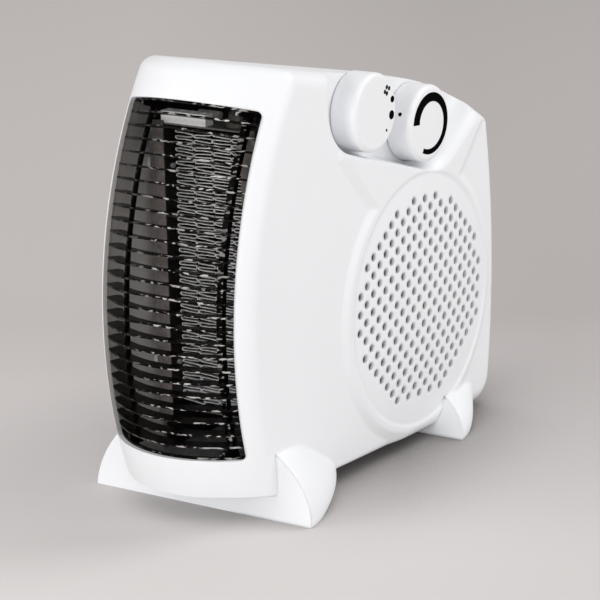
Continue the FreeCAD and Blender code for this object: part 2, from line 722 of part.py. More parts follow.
def inlet_hole():
    """Hole for the cord bush with a flat seat for its flange."""
    wall_y = rear_wall_at(size("inlet_height"))
    seat = wall_y - size("wall") / 2
    centre = Vector(0, seat - PAST / 2, size("inlet_height"))
    neck = Part.makeCylinder(size("inlet_radius") + size("screw_fit"), PAST, centre, Vector(0, 1, 0))
    flat = Part.makeCylinder(size("inlet_flange") + size("screw_fit"), PAST / 2,
                             Vector(0, seat, size("inlet_height")), Vector(0, 1, 0))
    return neck.fuse(flat)


def element_post(side, y, z):
    """Post from the casing side to a side board, with the pin that passes through the board."""
    face = size("element_half_width")
    post = solid_rod_x(size("locating_post_radius"), face, size("half_width"), y, z)
    pin = solid_rod_x(size("locating_pin_radius"), face - size("locating_pin_length"), face + 1, y, z)
    both = post.fuse(pin)
    return both if side > 0 else both.mirror(Vector(), Vector(1, 0, 0))


def control_holes():
    """Spindle and screw holes through the scoop's floor."""
    x0 = size("scoop_floor") - size("wall") - 1
    x1 = size("scoop_floor") + 1
    shapes = []
    for y, z in knob_places():
        shapes.append(solid_rod_x(size("spindle_radius") + size("running_fit"), x0, x1, y, z))
        for side in (-1, 1):
            at = y + side * size("control_screw_offset")
            shapes.append(solid_rod_x(size("small_screw_radius") + size("screw_fit"), x0, x1, at, z))
            sunk = size("scoop_floor") - size("small_head_height")
            shapes.append(solid_rod_x(size("small_head_radius") + size("screw_fit"), sunk, x1, at, z))
    return Part.makeCompound(shapes)


def post_places():
    for angle in POST_ANGLES:
        turn = math.radians(angle)
        yield (size("fan_y") + size("post_circle") * math.cos(turn),
               size("fan_z") + size("post_circle") * math.sin(turn))


def clamp_places():
    for side in (-1, 1):
        yield (size("rear_reach") - size("clamp_inset"),
               size("inlet_height") + side * size("clamp_half_span"))


outer = casing_solid(0.0)
inner = casing_solid(size("wall"))
outlet = outlet_wedge(size("outlet_half_width"), size("outlet_corner"))


def make_right_shell():
    raised = casing_solid(0.0, size("panel_raise")).common(panel_prism())
    dish = Part.makeCone(size("dish_radius") - size("dish_bevel"), size("dish_radius"), size("dish_depth"),
                         Vector(dish_floor(), *intake_centre()), Vector(1, 0, 0))
    form = right_of_middle(outer.fuse(raised)).cut(dish).fuse(intake_dome(0.0))
    form = form.fuse(front_half_foot()).fuse(rear_half_foot())
    cavity = right_of_middle(inner).fuse(intake_dome(size("wall")))
    cavity = cavity.cut(scoop_solid(size("wall"))).cut(knob_rooms(size("wall")))
    shell = form.cut(cavity).cut(outlet)
    inside = [scroll_rib()]
    for y, z in CASE_SCREWS:
        inside.append(solid_rod_x(size("case_boss_radius"), 0, PAST, y, z))
    for y, z in post_places():
        start = size("partition_left") + size("partition_thickness")
        inside.append(solid_rod_x(size("post_radius"), start, PAST, y, z))
    for y, z in ELEMENT_POSTS:
        inside.append(element_post(1, y, z))
    kept = Part.makeCompound(inside).common(outer)
    shell = shell.fuse(kept.Solids)
    tools = [scoop_solid(0.0), knob_rooms(0.0), intake_holes(), inlet_hole(), control_holes()]
    for y, z in CASE_SCREWS:
        reach = size("case_screw_reach") + 2
        tools.append(solid_rod_x(size("case_screw_radius") + size("screw_fit"), -1, reach, y, z))
    for y, z in post_places():
        start = size("partition_left")
        tools.append(solid_rod_x(size("small_screw_radius") + size("screw_fit"), start,
                                 start + size("partition_thickness") + size("small_screw_length"), y, z))
    for tool in tools:
        shell = shell.cut(tool)
    return feature("right_shell", shell)


def make_left_shell():
    mirror = (Vector(), Vector(1, 0, 0))
    form = left_of_middle(outer)
    form = form.fuse(front_half_foot().mirror(*mirror)).fuse(rear_half_foot().mirror(*mirror))
    shell = form.cut(left_of_middle(inner)).cut(outlet)
    inside = []
    bore = size("case_head_radius") + size("case_bore_play")
    for y, z in CASE_SCREWS:
        inside.append(solid_rod_x(bore + size("wall"), -PAST, -size("case_screw_seat") + size("wall"), y, z))
        inside.append(solid_rod_x(size("case_boss_radius"), -PAST, 0, y, z))
    for y, z in ELEMENT_POSTS:
        inside.append(element_post(-1, y, z))
    for y, z in clamp_places():
        inside.append(solid_rod_x(size("post_radius"), -PAST, size("clamp_seat"), y, z))
    kept = Part.makeCompound(inside).common(outer)
    shell = shell.fuse(kept.Solids)
    tools = [inlet_hole()]
    for y, z in CASE_SCREWS:
        tools.append(solid_rod_x(size("case_screw_radius") + size("case_bore_play"), -PAST, 1, y, z))
        tools.append(solid_rod_x(bore, -PAST, -size("case_screw_seat"), y, z))
    for y, z in clamp_places():
        seat = size("clamp_seat")
        depth = seat - size("small_screw_length")
        tools.append(solid_rod_x(size("small_screw_radius") + size("screw_fit"), depth, seat + 1, y, z))
    for tool in tools:
        shell = shell.cut(tool)
    return feature("left_shell", shell)


def make_front_grille():
    """Curved slats that fan out from the pivot, on two upright struts between bars behind brow and chin."""
    clearance = size("grille_clearance")
    behind = size("wall") + clearance
    recess = size("slat_recess")
    depth = size("slat_depth")
    half_in = size("outlet_half_width") - clearance
    half_out = size("outlet_half_width") + size("grille_overlap")
    bow = size("bow_radius") - recess
    end_radius = size("barrel_radius") - recess - bow + math.sqrt(bow ** 2 - half_in ** 2)

    pitch = size("outlet_fan_angle") / (size("slat_count") + 1)
    near = size("slat_pivot") + size("element_rear")
    far = size("slat_pivot") + size("front_reach")
    thick = size("slat_thickness")
    sheets = []
    for i in range(int(size("slat_count"))):
        sheet_solid = block(-half_in, half_in, -far, -near, -thick / 2, thick / 2)
        sheet_solid.rotate(Vector(), Vector(1, 0, 0), -pitch * (i + 1))
        sheet_solid.translate(yz(size("slat_pivot"), size("outlet_bottom")))
        sheets.append(sheet_solid)
    band = barrel(recess).cut(barrel(recess + depth)).cut(ring_cylinder(end_radius - size("slat_end_depth")))
    slats = band.common(Part.makeCompound(sheets))

    reach = math.degrees(size("grille_overlap") / (size("slat_pivot") + size("element_front")))
    rim = outlet_wedge(half_out, 0, reach)
    gap = outlet_wedge(half_out + 1, 0, -reach / 3)
    bars = barrel(behind).cut(barrel(behind + size("grille_flange"))).common(rim).cut(gap)
    bars = bars.cut(ring_cylinder(end_radius - size("slat_end_depth")))
    back = barrel(recess + depth + size("strut_depth"))
    plate = barrel(recess + depth - thick / 2).cut(back).common(rim)
    ends = barrel(behind + size("grille_flange") / 2).cut(back).common(rim)
    ends = ends.cut(outlet_wedge(half_out + 1, 0, -pitch / 2))
    struts = []
    for side in (-1, 1):
        x = side * size("strut_offset")
        half = size("strut_thickness") / 2
        slab = block(x - half, x + half, -FAR, -size("element_rear"), 0, FAR)
        struts.append(plate.fuse(ends).common(slab))
    pieces = [solid for shape in [slats, bars] + struts for solid in shape.Solids]
    return feature("front_grille", pieces[0].fuse(pieces[1:]).removeSplitter())


# Knobs and controls


def sketch_circles(body, name, radii):
    """Concentric circles on the body's side plane, each radius bound to the sheet."""
    sketch = body.newObject("Sketcher::SketchObject", name)
    plane = [f for f in body.Origin.OriginFeatures if f.Role == "YZ_Plane"][0]
    sketch.AttachmentSupport = [(plane, "")]
    sketch.MapMode = "FlatFace"
    for i, radius in enumerate(radii):
        sketch.addGeometry(Part.Circle(Vector(), Vector(0, 0, 1), 1.0 + i))
        sketch.addConstraint(Sketcher.Constraint("Coincident", i, 3, -1, 1))
        index = sketch.addConstraint(Sketcher.Constraint("Radius", i, 1.0 + i))
        sketch.setExpression(f"Constraints[{index}]", bind(radius))
    return sketch


def make_knob(name, y, z):
    """Round knob: padded disc, rounded face edge, hollow skirt and a socket for its spindle."""
    body = doc.addObject("PartDesign::Body", name)
    disc = body.newObject("PartDesign::Pad", name + "_disc")
    disc.Profile = sketch_circles(body, name + "_outline", ["knob_radius"])
    disc.setExpression("Length", bind("knob_depth"))
    doc.recompute()
    face_edges = [f"Edge{i + 1}" for i, e in enumerate(disc.Shape.Edges)
                  if isinstance(e.Curve, Part.Circle) and e.CenterOfMass.x > size("knob_depth") / 2]
    rounded = body.newObject("PartDesign::Fillet", name + "_edge")
    rounded.Base = (disc, face_edges)
    rounded.setExpression("Radius", bind("knob_edge"))
    skirt = body.newObject("PartDesign::Pocket", name + "_hollow")
    skirt.Profile = sketch_circles(body, name + "_ring", ["knob_radius - knob_wall", "knob_boss_radius"])
    skirt.Reversed = True
    skirt.setExpression("Length", bind("knob_depth - knob_wall * 1.5"))
    socket = body.newObject("PartDesign::Pocket", name + "_socket")
    socket.Profile = sketch_circles(body, name + "_bore", ["spindle_radius + screw_fit"])
    socket.Reversed = True
    socket.setExpression("Length", bind("spindle_grip"))
    place(body, "scoop_floor + knob_gap", y, z)
    doc.recompute()
    full = math.pi * size("knob_radius") ** 2 * size("knob_depth")
    if not 0.2 * full < body.Shape.Volume < 0.7 * full:
        raise ValueError(name + " was not hollowed out")
    return body


def make_spindle(name, body_length, y, z):
    """Spindle from inside its control to the bottom of the knob's socket."""
    start = f"scoop_floor - wall - {body_length} + 3"
    end = "scoop_floor + knob_gap + spindle_grip"
    return rod_x(name, "spindle_radius", (start, end), y, z)


def control_screw_tools(name, seat, y, z):
    tools = []
    for side in (-1, 1):
        tools.append(rod_x(f"{name}_{side + 1}", "small_screw_radius + screw_fit",
                           (f"{seat} - small_screw_length", f"{seat} + 1"),
                           f"{y} + {side} * control_screw_offset", z))
    return tools


def terminal_tabs(name, start, y, offsets, z):
    tabs = []
    for i, offset in enumerate(offsets):
        tabs.append(box(f"{name}_{i}", (f"{start} - tab_length", f"{start} + 1"),
                        (f"{y} + {offset} - tab_thickness / 2", f"{y} + {offset} + tab_thickness / 2"),
                        (f"{z} - tab_width / 2", f"{z} + tab_width / 2")))
    return tabs


def make_switch():
    """Rotary switch: round body with a bore for its spindle and four tabs."""
    seat = "scoop_floor - wall"
    back = f"{seat} - switch_length"
    drum = rod_x("switch_drum", "switch_radius", (back, seat), "switch_y", "switch_z")
    bore = rod_x("switch_bore", "spindle_radius + running_fit", (f"{back} + 2.5", f"{seat} + 1"),
                 "switch_y", "switch_z")
    holes = control_screw_tools("switch_hole", seat, "switch_y", "switch_z")
    tabs = terminal_tabs("switch_tab", back, "switch_y", (-7.5, -2.5, 2.5, 7.5), "switch_z")
    return fuse("rotary_switch", cut("switch_body", drum, bore, *holes), *tabs)


def make_thermostat():
    """Thermostat: frame with a bore for its adjusting spindle, a bimetal blade and two tabs."""
    seat = "scoop_floor - wall"
    back = f"{seat} - thermostat_length"
    frame = box("thermostat_block", (back, seat),
                ("thermostat_y - thermostat_width / 2", "thermostat_y + thermostat_width / 2"),
                ("thermostat_z - thermostat_height / 2", "thermostat_z + thermostat_height / 2"))
    bore = rod_x("thermostat_bore", "spindle_radius + running_fit", (f"{back} + 2.5", f"{seat} + 1"),
                 "thermostat_y", "thermostat_z")
    holes = control_screw_tools("thermostat_hole", seat, "thermostat_y", "thermostat_z")
    tabs = terminal_tabs("thermostat_tab", back, "thermostat_y", (-9.0, 9.0), "thermostat_z")
    blade = box("bimetal_blade", (f"{back} - 3", f"{back} - 2"),
                ("thermostat_y - thermostat_width / 2", "thermostat_y + 6"),
                ("thermostat_z - 4", "thermostat_z + 4"))
    foot = box("bimetal_foot", (f"{back} - 3", f"{back} + 1"),
               ("thermostat_y - thermostat_width / 2", "thermostat_y - thermostat_width / 2 + 3"),
               ("thermostat_z - 4", "thermostat_z + 4"))
    return fuse("thermostat", cut("thermostat_frame", frame, bore, *holes), *tabs, blade, foot)


def screw_x(name, seat, direction, length, y, z, kind):
    """Screw along X, its head to the right of its seat (direction 1) or to the left (direction -1)."""
    head_radius, head_height, shank = kind
    if direction > 0:
        head = rod_x(name + "_head", head_radius, (seat, f"{seat} + {head_height}"), y, z)
        stem = rod_x(name + "_stem", shank, (f"{seat} - ({length})", f"{seat} + 0.1"), y, z)
    else:
        head = rod_x(name + "_head", head_radius, (f"{seat} - {head_height}", seat), y, z)
        stem = rod_x(name + "_stem", shank, (f"{seat} - 0.1", f"{seat} + {length}"), y, z)
    return fuse(name, head, stem)


SMALL = ("small_head_radius", "small_head_height", "small_screw_radius")
CASE = ("case_head_radius", "case_head_height", "case_screw_radius")
MOTOR = ("case_head_radius", "small_head_height * 2", "motor_screw_radius")


def make_control_screws():
    screws = []
    for control in ("switch", "thermostat"):
        for side in (-1, 1):
            screws.append(screw_x(f"{control}_screw_{side + 1}", "scoop_floor - small_head_height", 1,
                                  "small_screw_length", f"{control}_y + {side} * control_screw_offset",
                                  f"{control}_z", SMALL))
    return group("control_screws", screws)


def make_case_screws():
    screws = []
    for i, (y, z) in enumerate(CASE_SCREWS):
        screws.append(screw_x(f"case_screw_{i}", "-case_screw_seat", -1, "case_screw_seat + case_screw_reach",
                              y, z, CASE))
    return group("case_screws", screws)


# Fan and motor


def make_impeller():
    """Centrifugal impeller: back disc, hub, front ring and forward-curved blades."""
    disc = rod_x("impeller_disc", "impeller_radius", ("impeller_back", "impeller_back + impeller_sheet"),
                 "fan_y", "fan_z")
    hub = rod_x("impeller_hub", "hub_radius", ("impeller_back", "impeller_back + hub_length"),
                "fan_y", "fan_z")
    rim = rod_x("impeller_rim", "impeller_radius", ("impeller_front - impeller_sheet", "impeller_front"),
                "fan_y", "fan_z")
    eye = rod_x("impeller_eye", "blade_inner_radius + 2",
                ("impeller_front - impeller_sheet - 1", "impeller_front + 1"), "fan_y", "fan_z")
    ring = cut("impeller_ring", rim, eye)
    inside = size("blade_inner_radius")
    outside = size("impeller_radius") - 0.3
    x0 = size("impeller_back") + size("impeller_sheet") / 2
    x1 = size("impeller_front") - size("impeller_sheet") / 2
    thick = size("blade_thickness") / 2
    lean = math.radians(size("blade_lean"))

    def polar(radius, angle, shift):
        return yz(radius * math.cos(angle) - shift * math.sin(angle),
                  radius * math.sin(angle) + shift * math.cos(angle), x0)

    middle = (inside + outside) / 2
    faces = []
    for shift in (-thick, thick):
        faces.append([polar(inside, 0, shift), polar(middle, lean * 0.3, shift), polar(outside, lean, shift)])
    outline = Part.Wire([
        Part.Arc(*faces[0]).toShape(),
        Part.LineSegment(faces[0][2], faces[1][2]).toShape(),
        Part.Arc(*reversed(faces[1])).toShape(),
        Part.LineSegment(faces[1][0], faces[0][0]).toShape(),
    ])
    blade = Part.Face(outline).extrude(Vector(x1 - x0, 0, 0))
    count = int(size("blade_count"))
    copies = []
    for i in range(count):
        copy = blade.copy()
        copy.rotate(Vector(), Vector(1, 0, 0), 360.0 * i / count)
        copies.append(copy)
    blades = feature("impeller_blades", Part.makeCompound(copies))
    place(blades, "0", "fan_y", "fan_z")
    bore = rod_x("impeller_bore", "shaft_radius + screw_fit", ("impeller_back - 1", "impeller_front"),
                 "fan_y", "fan_z")
    return cut("impeller", fuse("impeller_form", disc, hub, ring, blades), bore)


def make_impeller_nut():
    nut = doc.addObject("Part::Prism", "nut_prism")
    nut.Polygon = 6
    nut.setExpression("Circumradius", bind("nut_radius"))
    nut.setExpression("Height", bind("nut_height"))
    place(nut, "impeller_back + hub_length", "fan_y", "fan_z", TURN_TO_X)
    bore = rod_x("nut_bore", "shaft_radius + screw_fit", ("impeller_back", "impeller_front"),
                 "fan_y", "fan_z")
    return cut("impeller_nut", nut, bore)


CORE_RIGHT = "-core_right"
CORE_LEFT = "-core_right - core_stack"


def make_motor_core():
    """Laminated core: block with the rotor bore, a coil window and two screw holes."""
    stack = box("core_block", (CORE_LEFT, CORE_RIGHT), ("fan_y - core_front", "fan_y + core_rear"),
                ("fan_z - core_half_height", "fan_z + core_half_height"))
    bore = rod_x("core_bore", "rotor_radius + rotor_gap", (f"{CORE_LEFT} - 1", f"{CORE_RIGHT} + 1"),
                 "fan_y", "fan_z")
    window = box("core_window", (f"{CORE_LEFT} - 1", f"{CORE_RIGHT} + 1"),
                 ("fan_y + core_window_front", "fan_y + core_leg_inner"),
                 ("fan_z - core_window_half", "fan_z + core_window_half"))
    holes = [motor_screw_hole("core", side) for side in (-1, 1)]
    return cut("motor_core", stack, bore, window, *holes)


def motor_screw_hole(name, side):
    return rod_x(f"{name}_screw_hole_{side + 1}", "motor_screw_radius + screw_fit",
                 ("-half_width", "half_width"), "fan_y", f"fan_z + {side} * motor_screw_offset")


def make_bobbin():
    """Bobbin on the coil leg: tube with a flange at each end of the window."""
    low = "fan_z - core_window_half"
    high = "fan_z + core_window_half"
    front = "fan_y + core_leg_inner"
    rear = "fan_y + core_rear"
    tube = box("bobbin_tube", (f"{CORE_LEFT} - bobbin_wall - 0.2", f"{CORE_RIGHT} + bobbin_wall + 0.2"),
               (f"{front} - bobbin_wall - 0.2", f"{rear} + bobbin_wall + 0.2"),
               (f"{low} + 0.2", f"{high} - 0.2"))
    flanges = []
    for i, (start, end) in enumerate(((f"{low} + 0.2", f"{low} + 0.2 + bobbin_flange"),
                                      (f"{high} - 0.2 - bobbin_flange", f"{high} - 0.2"))):
        flanges.append(box(f"bobbin_flange_{i}",
                           (f"{CORE_LEFT} - coil_build - 1.5", f"{CORE_RIGHT} + coil_build + 1.5"),
                           (f"{front} - coil_build - 1.5", f"{rear} + coil_build + 1.5"), (start, end)))
    leg = box("bobbin_leg", (f"{CORE_LEFT} - 0.2", f"{CORE_RIGHT} + 0.2"),
              (f"{front} - 0.2", f"{rear} + 0.2"), (f"{low} - 1", f"{high} + 1"))
    return cut("coil_bobbin", fuse("bobbin_form", tube, *flanges), leg)


def make_coil():
    """Winding round the bobbin tube, between its flanges."""
    low = "fan_z - core_window_half + 0.2 + bobbin_flange"
    high = "fan_z + core_window_half - 0.2 - bobbin_flange"
    front = "fan_y + core_leg_inner"
    rear = "fan_y + core_rear"
    winding = box("coil_outer", (f"{CORE_LEFT} - coil_build", f"{CORE_RIGHT} + coil_build"),
                  (f"{front} - coil_build", f"{rear} + coil_build"), (low, high))
    hollow = box("coil_hollow", (f"{CORE_LEFT} - bobbin_wall - 0.2", f"{CORE_RIGHT} + bobbin_wall + 0.2"),
                 (f"{front} - bobbin_wall - 0.2", f"{rear} + bobbin_wall + 0.2"),
                 (f"{low} - 1", f"{high} + 1"))
    return cut("motor_coil", winding, hollow)


def make_bridge(name, face, away):
    """Bearing bridge: strap over the core on two legs, with a cup for the bearing bush."""
    def span(near, far):
        start, end = f"{face} + {away} * ({near})", f"{face} + {away} * ({far})"
        return (start, end) if away > 0 else (end, start)

    half = "bridge_width / 2"
    ends = "core_half_height"
    strap = box(name + "_strap", span("bridge_leg", "bridge_leg + bridge_sheet"),
                (f"fan_y - {half}", f"fan_y + {half}"), (f"fan_z - {ends}", f"fan_z + {ends}"))
    legs = []
    for side in (-1, 1):
        inner_z = f"fan_z + {side} * ({ends} - 10)"
        outer_z = f"fan_z + {side} * {ends}"
        levels = (inner_z, outer_z) if side > 0 else (outer_z, inner_z)
        legs.append(box(f"{name}_leg_{side + 1}", span("0", "bridge_leg + 0.5"),
                        (f"fan_y - {half}", f"fan_y + {half}"), levels))
    cup_span = span("bridge_leg + bridge_sheet - bearing_length", "bridge_leg + bridge_sheet")
    cup = rod_x(name + "_cup", "bearing_radius + bearing_cup_wall", cup_span, "fan_y", "fan_z")
    seat = rod_x(name + "_seat", "bearing_radius + screw_fit", span("0", "bridge_leg + bridge_sheet + 1"),
                 "fan_y", "fan_z")
    holes = [motor_screw_hole(name, side) for side in (-1, 1)]
    return cut(name, fuse(name + "_form", strap, cup, *legs), seat, *holes)


def make_bushes():
    """Two plain bearing bushes in the bridges."""
    bushes = []
    for i, (face, away) in enumerate(((CORE_LEFT, -1), (CORE_RIGHT, 1))):
        far = f"{face} + {away} * (bridge_leg + bridge_sheet)"
        near = f"{far} - {away} * bearing_length"
        span = (near, far) if away > 0 else (far, near)
        bush = rod_x(f"bush_{i}", "bearing_radius", span, "fan_y", "fan_z")
        bore = rod_x(f"bush_bore_{i}", "shaft_radius + running_fit", (f"{span[0]} - 1", f"{span[1]} + 1"),
                     "fan_y", "fan_z")
        bushes.append(cut(f"bearing_bush_{i}", bush, bore))
    return group("bearing_bushes", bushes)


def make_motor_screws():
    """Two screws through both bridges and the core into the partition plate."""
    seat = f"{CORE_LEFT} - bridge_leg - bridge_sheet"
    length = "core_right + core_stack + bridge_leg + bridge_sheet + partition_left + partition_thickness"
    screws = []
    for side in (-1, 1):
        screws.append(screw_x(f"motor_screw_{side + 1}", seat, -1, length, "fan_y",
                              f"fan_z + {side} * motor_screw_offset", MOTOR))
    return group("motor_screws", screws)


def make_rotor():
    solid = rod_x("rotor_drum", "rotor_radius", (f"{CORE_LEFT} - 1", f"{CORE_RIGHT} + 1"),
                  "fan_y", "fan_z")
    bore = rod_x("rotor_bore", "shaft_radius + screw_fit", (f"{CORE_LEFT} - 2", f"{CORE_RIGHT} + 2"),
                 "fan_y", "fan_z")
    return cut("motor_rotor", solid, bore)


def make_partition():
    """Partition plate: closes the scroll, carries the motor on two standoffs, three ears for its screws."""
    span = ("partition_left", "partition_left + partition_thickness")
    disc = rod_x("partition_disc", "scroll_radius + scroll_wall + partition_margin", span, "fan_y", "fan_z")
    apron = box("partition_apron", span, ("fan_y - scroll_radius - 14", "fan_y"),
                ("fan_z - scroll_radius - scroll_wall", "fan_z + 40"))
    pieces = [disc, apron]
    tools = []
    for i, (y, z) in enumerate(post_places()):
        pieces.append(rod_x(f"partition_ear_{i}", "ear_radius", span, y, z))
        tools.append(rod_x(f"partition_ear_hole_{i}", "small_screw_radius + screw_fit",
                           ("partition_left - 1", "partition_left + partition_thickness + 1"), y, z))
    for side in (-1, 1):
        pieces.append(rod_x(f"standoff_{side + 1}", "case_head_radius",
                            (f"{CORE_RIGHT} + bridge_leg + bridge_sheet", "partition_left + 0.5"), "fan_y",
                            f"fan_z + {side} * motor_screw_offset"))
        tools.append(motor_screw_hole("partition", side))
    tools.append(rod_x("partition_shaft_hole", "hub_radius + 3", ("partition_left - 1", "impeller_back"),
                       "fan_y", "fan_z"))
    return cut("partition_plate", fuse("partition_form", *pieces), *tools)


def make_partition_screws():
    screws = []
    for i, (y, z) in enumerate(post_places()):
        screws.append(screw_x(f"partition_screw_{i}", "partition_left", -1, "small_screw_length",
                              y, z, SMALL))
    return group("partition_screws", screws)


# Heating element


def make_side_board(name, side):
    """Mica side board with a front lip and two holes for its locating pins."""
    def span(a, b):
        return (a, b) if side > 0 else (f"-({b})", f"-({a})")

    board = box(name + "_wall", span("element_half_width - mica_sheet", "element_half_width"),
                ("-element_front", "-element_rear"), ("element_bottom", "element_top"))
    lip = box(name + "_lip", span("element_half_width - board_lip", "element_half_width"),
              ("-element_front - mica_sheet", "-element_front"), ("element_bottom", "element_top"))
    holes = []
    for i, (y, z) in enumerate(ELEMENT_POSTS):
        holes.append(rod_x(f"{name}_hole_{i}", "locating_pin_radius + screw_fit",
                           ("-half_width", "half_width"), y, z))
    return cut(name, fuse(name + "_form", board, lip), *holes)


def cross_board_level(i):
    """Expression for the underside of a cross board, lowest first."""
    share = i / (size("cross_board_count") - 1)
    return f"element_bottom + 1 + {share} * (element_top - element_bottom - 2 - mica_sheet)"


def make_cross_boards():
    """Mica cross boards behind the ribbon; the top one reaches forward to carry the ceramic strip."""
    boards = []
    last = int(size("cross_board_count")) - 1
    half = "element_half_width - mica_sheet"
    for i in range(last + 1):
        front = "-element_front" if i == last else "-ribbon_front + ribbon_width + ribbon_rest"
        level = cross_board_level(i)
        boards.append(box(f"cross_board_{i}", (f"-({half})", half), (front, "-element_rear"),
                          (level, f"{level} + mica_sheet")))
    return group("cross_boards", boards)


def ribbon_runs(first_column, second_column, low, high):
    """Straight runs of one circuit as level, start and end: down the first column, across, up the second."""
    turns = int(size("ribbon_turns"))
    pitch = (high - low) / turns
    half = size("ribbon_half_run")
    down = [(high - i * pitch, first_column) for i in range(turns + 1)]
    up = [(low + i * pitch, second_column) for i in range(1, turns + 1)]
    runs = []
    # The lowest run of the first column heads for the second column
    forward = turns % 2 == 0
    for level, column in down + up:
        reach = half if forward else -half
        runs.append([level, column - reach, column + reach])
        forward = not forward
    runs[turns][2] = second_column + half
    return runs


RUN_POINTS = 6


def least_gap(runs):
    """Smallest free distance between turns, measured on points along the middle of the ribbon."""
    path = []
    for i, (level, start, end) in enumerate(runs):
        for j in range(RUN_POINTS):
            path.append((start + (end - start) * j / (RUN_POINTS - 1), level))
        if i + 1 < len(runs):
            after = runs[i + 1][0]
            bend = abs(after - level) / 2
            forward = 1 if end > start else -1
            for j in range(1, RUN_POINTS):
                angle = math.pi * j / RUN_POINTS
                path.append((end + forward * bend * math.sin(angle),
                             (level + after) / 2 + (level - after) / 2 * math.cos(angle)))
    lengths = [0.0]
    for (x0, z0), (x1, z1) in zip(path, path[1:]):
        lengths.append(lengths[-1] + math.hypot(x1 - x0, z1 - z0))
    # Points closer along the ribbon than one bend and its two runs belong to the same turn
    same_turn = 2 * abs(runs[1][0] - runs[0][0])
    gaps = []
    for i, (x0, z0) in enumerate(path):
        for j in range(i + 1, len(path)):
            if lengths[j] - lengths[i] > same_turn:
                gaps.append(math.hypot(path[j][0] - x0, path[j][1] - z0))
    return min(gaps) - size("ribbon_thickness")


def ribbon_band(runs):
    """Flat outline of a bent ribbon: both edges of the strip, with half rounds between its runs."""
    y = -size("ribbon_front")
    half = size("ribbon_thickness") / 2

    def at(x, z):
        return Vector(x, y, z)

    sides = {1: [], -1: []}
    for i, (level, start, end) in enumerate(runs):
        forward = 1 if end > start else -1
        for left in (1, -1):
            offset = half * forward * left
            sides[left].append(Part.LineSegment(at(start, level + offset), at(end, level + offset)).toShape())
        if i + 1 < len(runs):
            after = runs[i + 1][0]
            climb = 1 if after > level else -1
            centre = (level + after) / 2
            turn = abs(after - level) / 2
            left_turn = climb * forward
            for left in (1, -1):
                radius = turn - half * left * left_turn
                bend = Part.Arc(at(end, centre - climb * radius), at(end + forward * radius, centre),
                                at(end, centre + climb * radius))
                sides[left].append(bend.toShape())
    first = runs[0]
    last = runs[-1]
    edges = sides[1] + sides[-1]
    for level, x in ((first[0], first[1]), (last[0], last[2])):
        edges.append(Part.LineSegment(at(x, level - half), at(x, level + half)).toShape())
    outline = Part.Wire(Part.sortEdges(edges)[0])
    return Part.Face(outline).extrude(Vector(0, size("ribbon_width"), 0))


def make_heat_ribbon(name, side):
    """One heating circuit: a corrugated ribbon in two columns beside the middle plane."""
    low = size("element_bottom") + size("ribbon_margin")
    high = size("element_top") - size("ribbon_margin")
    step = size("ribbon_column")
    columns = (-1.5 * step, -0.5 * step) if side < 0 else (0.5 * step, 1.5 * step)
    runs = ribbon_runs(columns[0], columns[1], low, high)
    print(name, "least gap between turns", round(least_gap(runs), 2))
    return feature(name, ribbon_band(runs))


def top_of_boards():
    return cross_board_level(int(size("cross_board_count")) - 1) + " + mica_sheet"


STRIP_WELLS = 4


def make_ceramic_strip():
    """Ceramic strip with a row of four round wells for the wire ends."""
    floor = top_of_boards()
    bar = box("strip_bar", ("-strip_left", "-strip_left + strip_length"),
              ("-element_front", "-element_front + strip_depth"), (floor, f"{floor} + strip_height"))
    wells = []
    for i in range(STRIP_WELLS):
        share = (i + 0.5) / STRIP_WELLS
        wells.append(rod_z(f"strip_well_{i}", "strip_depth / 4", f"-strip_left + strip_length * {share}",
                           "-element_front + strip_depth / 2",
                           (f"{floor} + strip_height / 2", f"{floor} + strip_height + 1")))
    return cut("ceramic_strip", bar, *wells)


def make_cutout():
    """Bimetal disc cut-out: cap on a wider base."""
    floor = top_of_boards()
    y = "-(element_front + element_rear) / 2"
    base = rod_z("cutout_base", "cutout_radius", "cutout_x", y, (floor, f"{floor} + cutout_height / 2"))
    cap = rod_z("cutout_cap", "cutout_cap_radius", "cutout_x", y, (floor, f"{floor} + cutout_height"))
    return fuse("thermal_cutout", base, cap)


def make_fuse():
    floor = top_of_boards()
    return rod_x("thermal_fuse", "fuse_radius", ("-fuse_length - 2", "-2"), "-element_rear - 4",
                 f"{floor} + fuse_radius")


# Cord inlet


def make_cord_bush():
    """Cord bush: flange outside the rear wall, neck through it, bore for the cord."""
    seat = rear_wall_at(size("inlet_height")) - size("wall") / 2
    outside = f"{seat} + inlet_flange_height"
    inside = f"{seat} - inlet_length"
    flange = rod_y("bush_flange", "inlet_flange", "0", (seat, outside), "inlet_height")
    neck = rod_y("bush_neck", "inlet_radius", "0", (inside, f"{seat} + 0.5"), "inlet_height")
    bore = rod_y("bush_bore", "inlet_bore", "0", (f"{inside} - 1", f"{outside} + 1"), "inlet_height")
    return cut("cord_bush", fuse("bush_form", flange, neck), bore)


CLAMP_Y = "rear_reach - clamp_inset"


def make_clamp():
    bar = box("clamp_bar", ("clamp_seat", "clamp_seat + clamp_height"),
              (f"{CLAMP_Y} - clamp_width / 2", f"{CLAMP_Y} + clamp_width / 2"),
              ("inlet_height - clamp_half_span - clamp_width / 2",
               "inlet_height + clamp_half_span + clamp_width / 2"))
    holes = []
    for side in (-1, 1):
        holes.append(rod_x(f"clamp_hole_{side + 1}", "small_screw_radius + screw_fit",
                           ("clamp_seat - 1", "clamp_seat + clamp_height + 1"), CLAMP_Y,
                           f"inlet_height + {side} * clamp_half_span"))
    return cut("cord_clamp", bar, *holes)


def make_clamp_screws():
    screws = []
    for side in (-1, 1):
        screws.append(screw_x(f"clamp_screw_{side + 1}", "clamp_seat + clamp_height", 1, "small_screw_length",
                              CLAMP_Y, f"inlet_height + {side} * clamp_half_span", SMALL))
    return group("clamp_screws", screws)


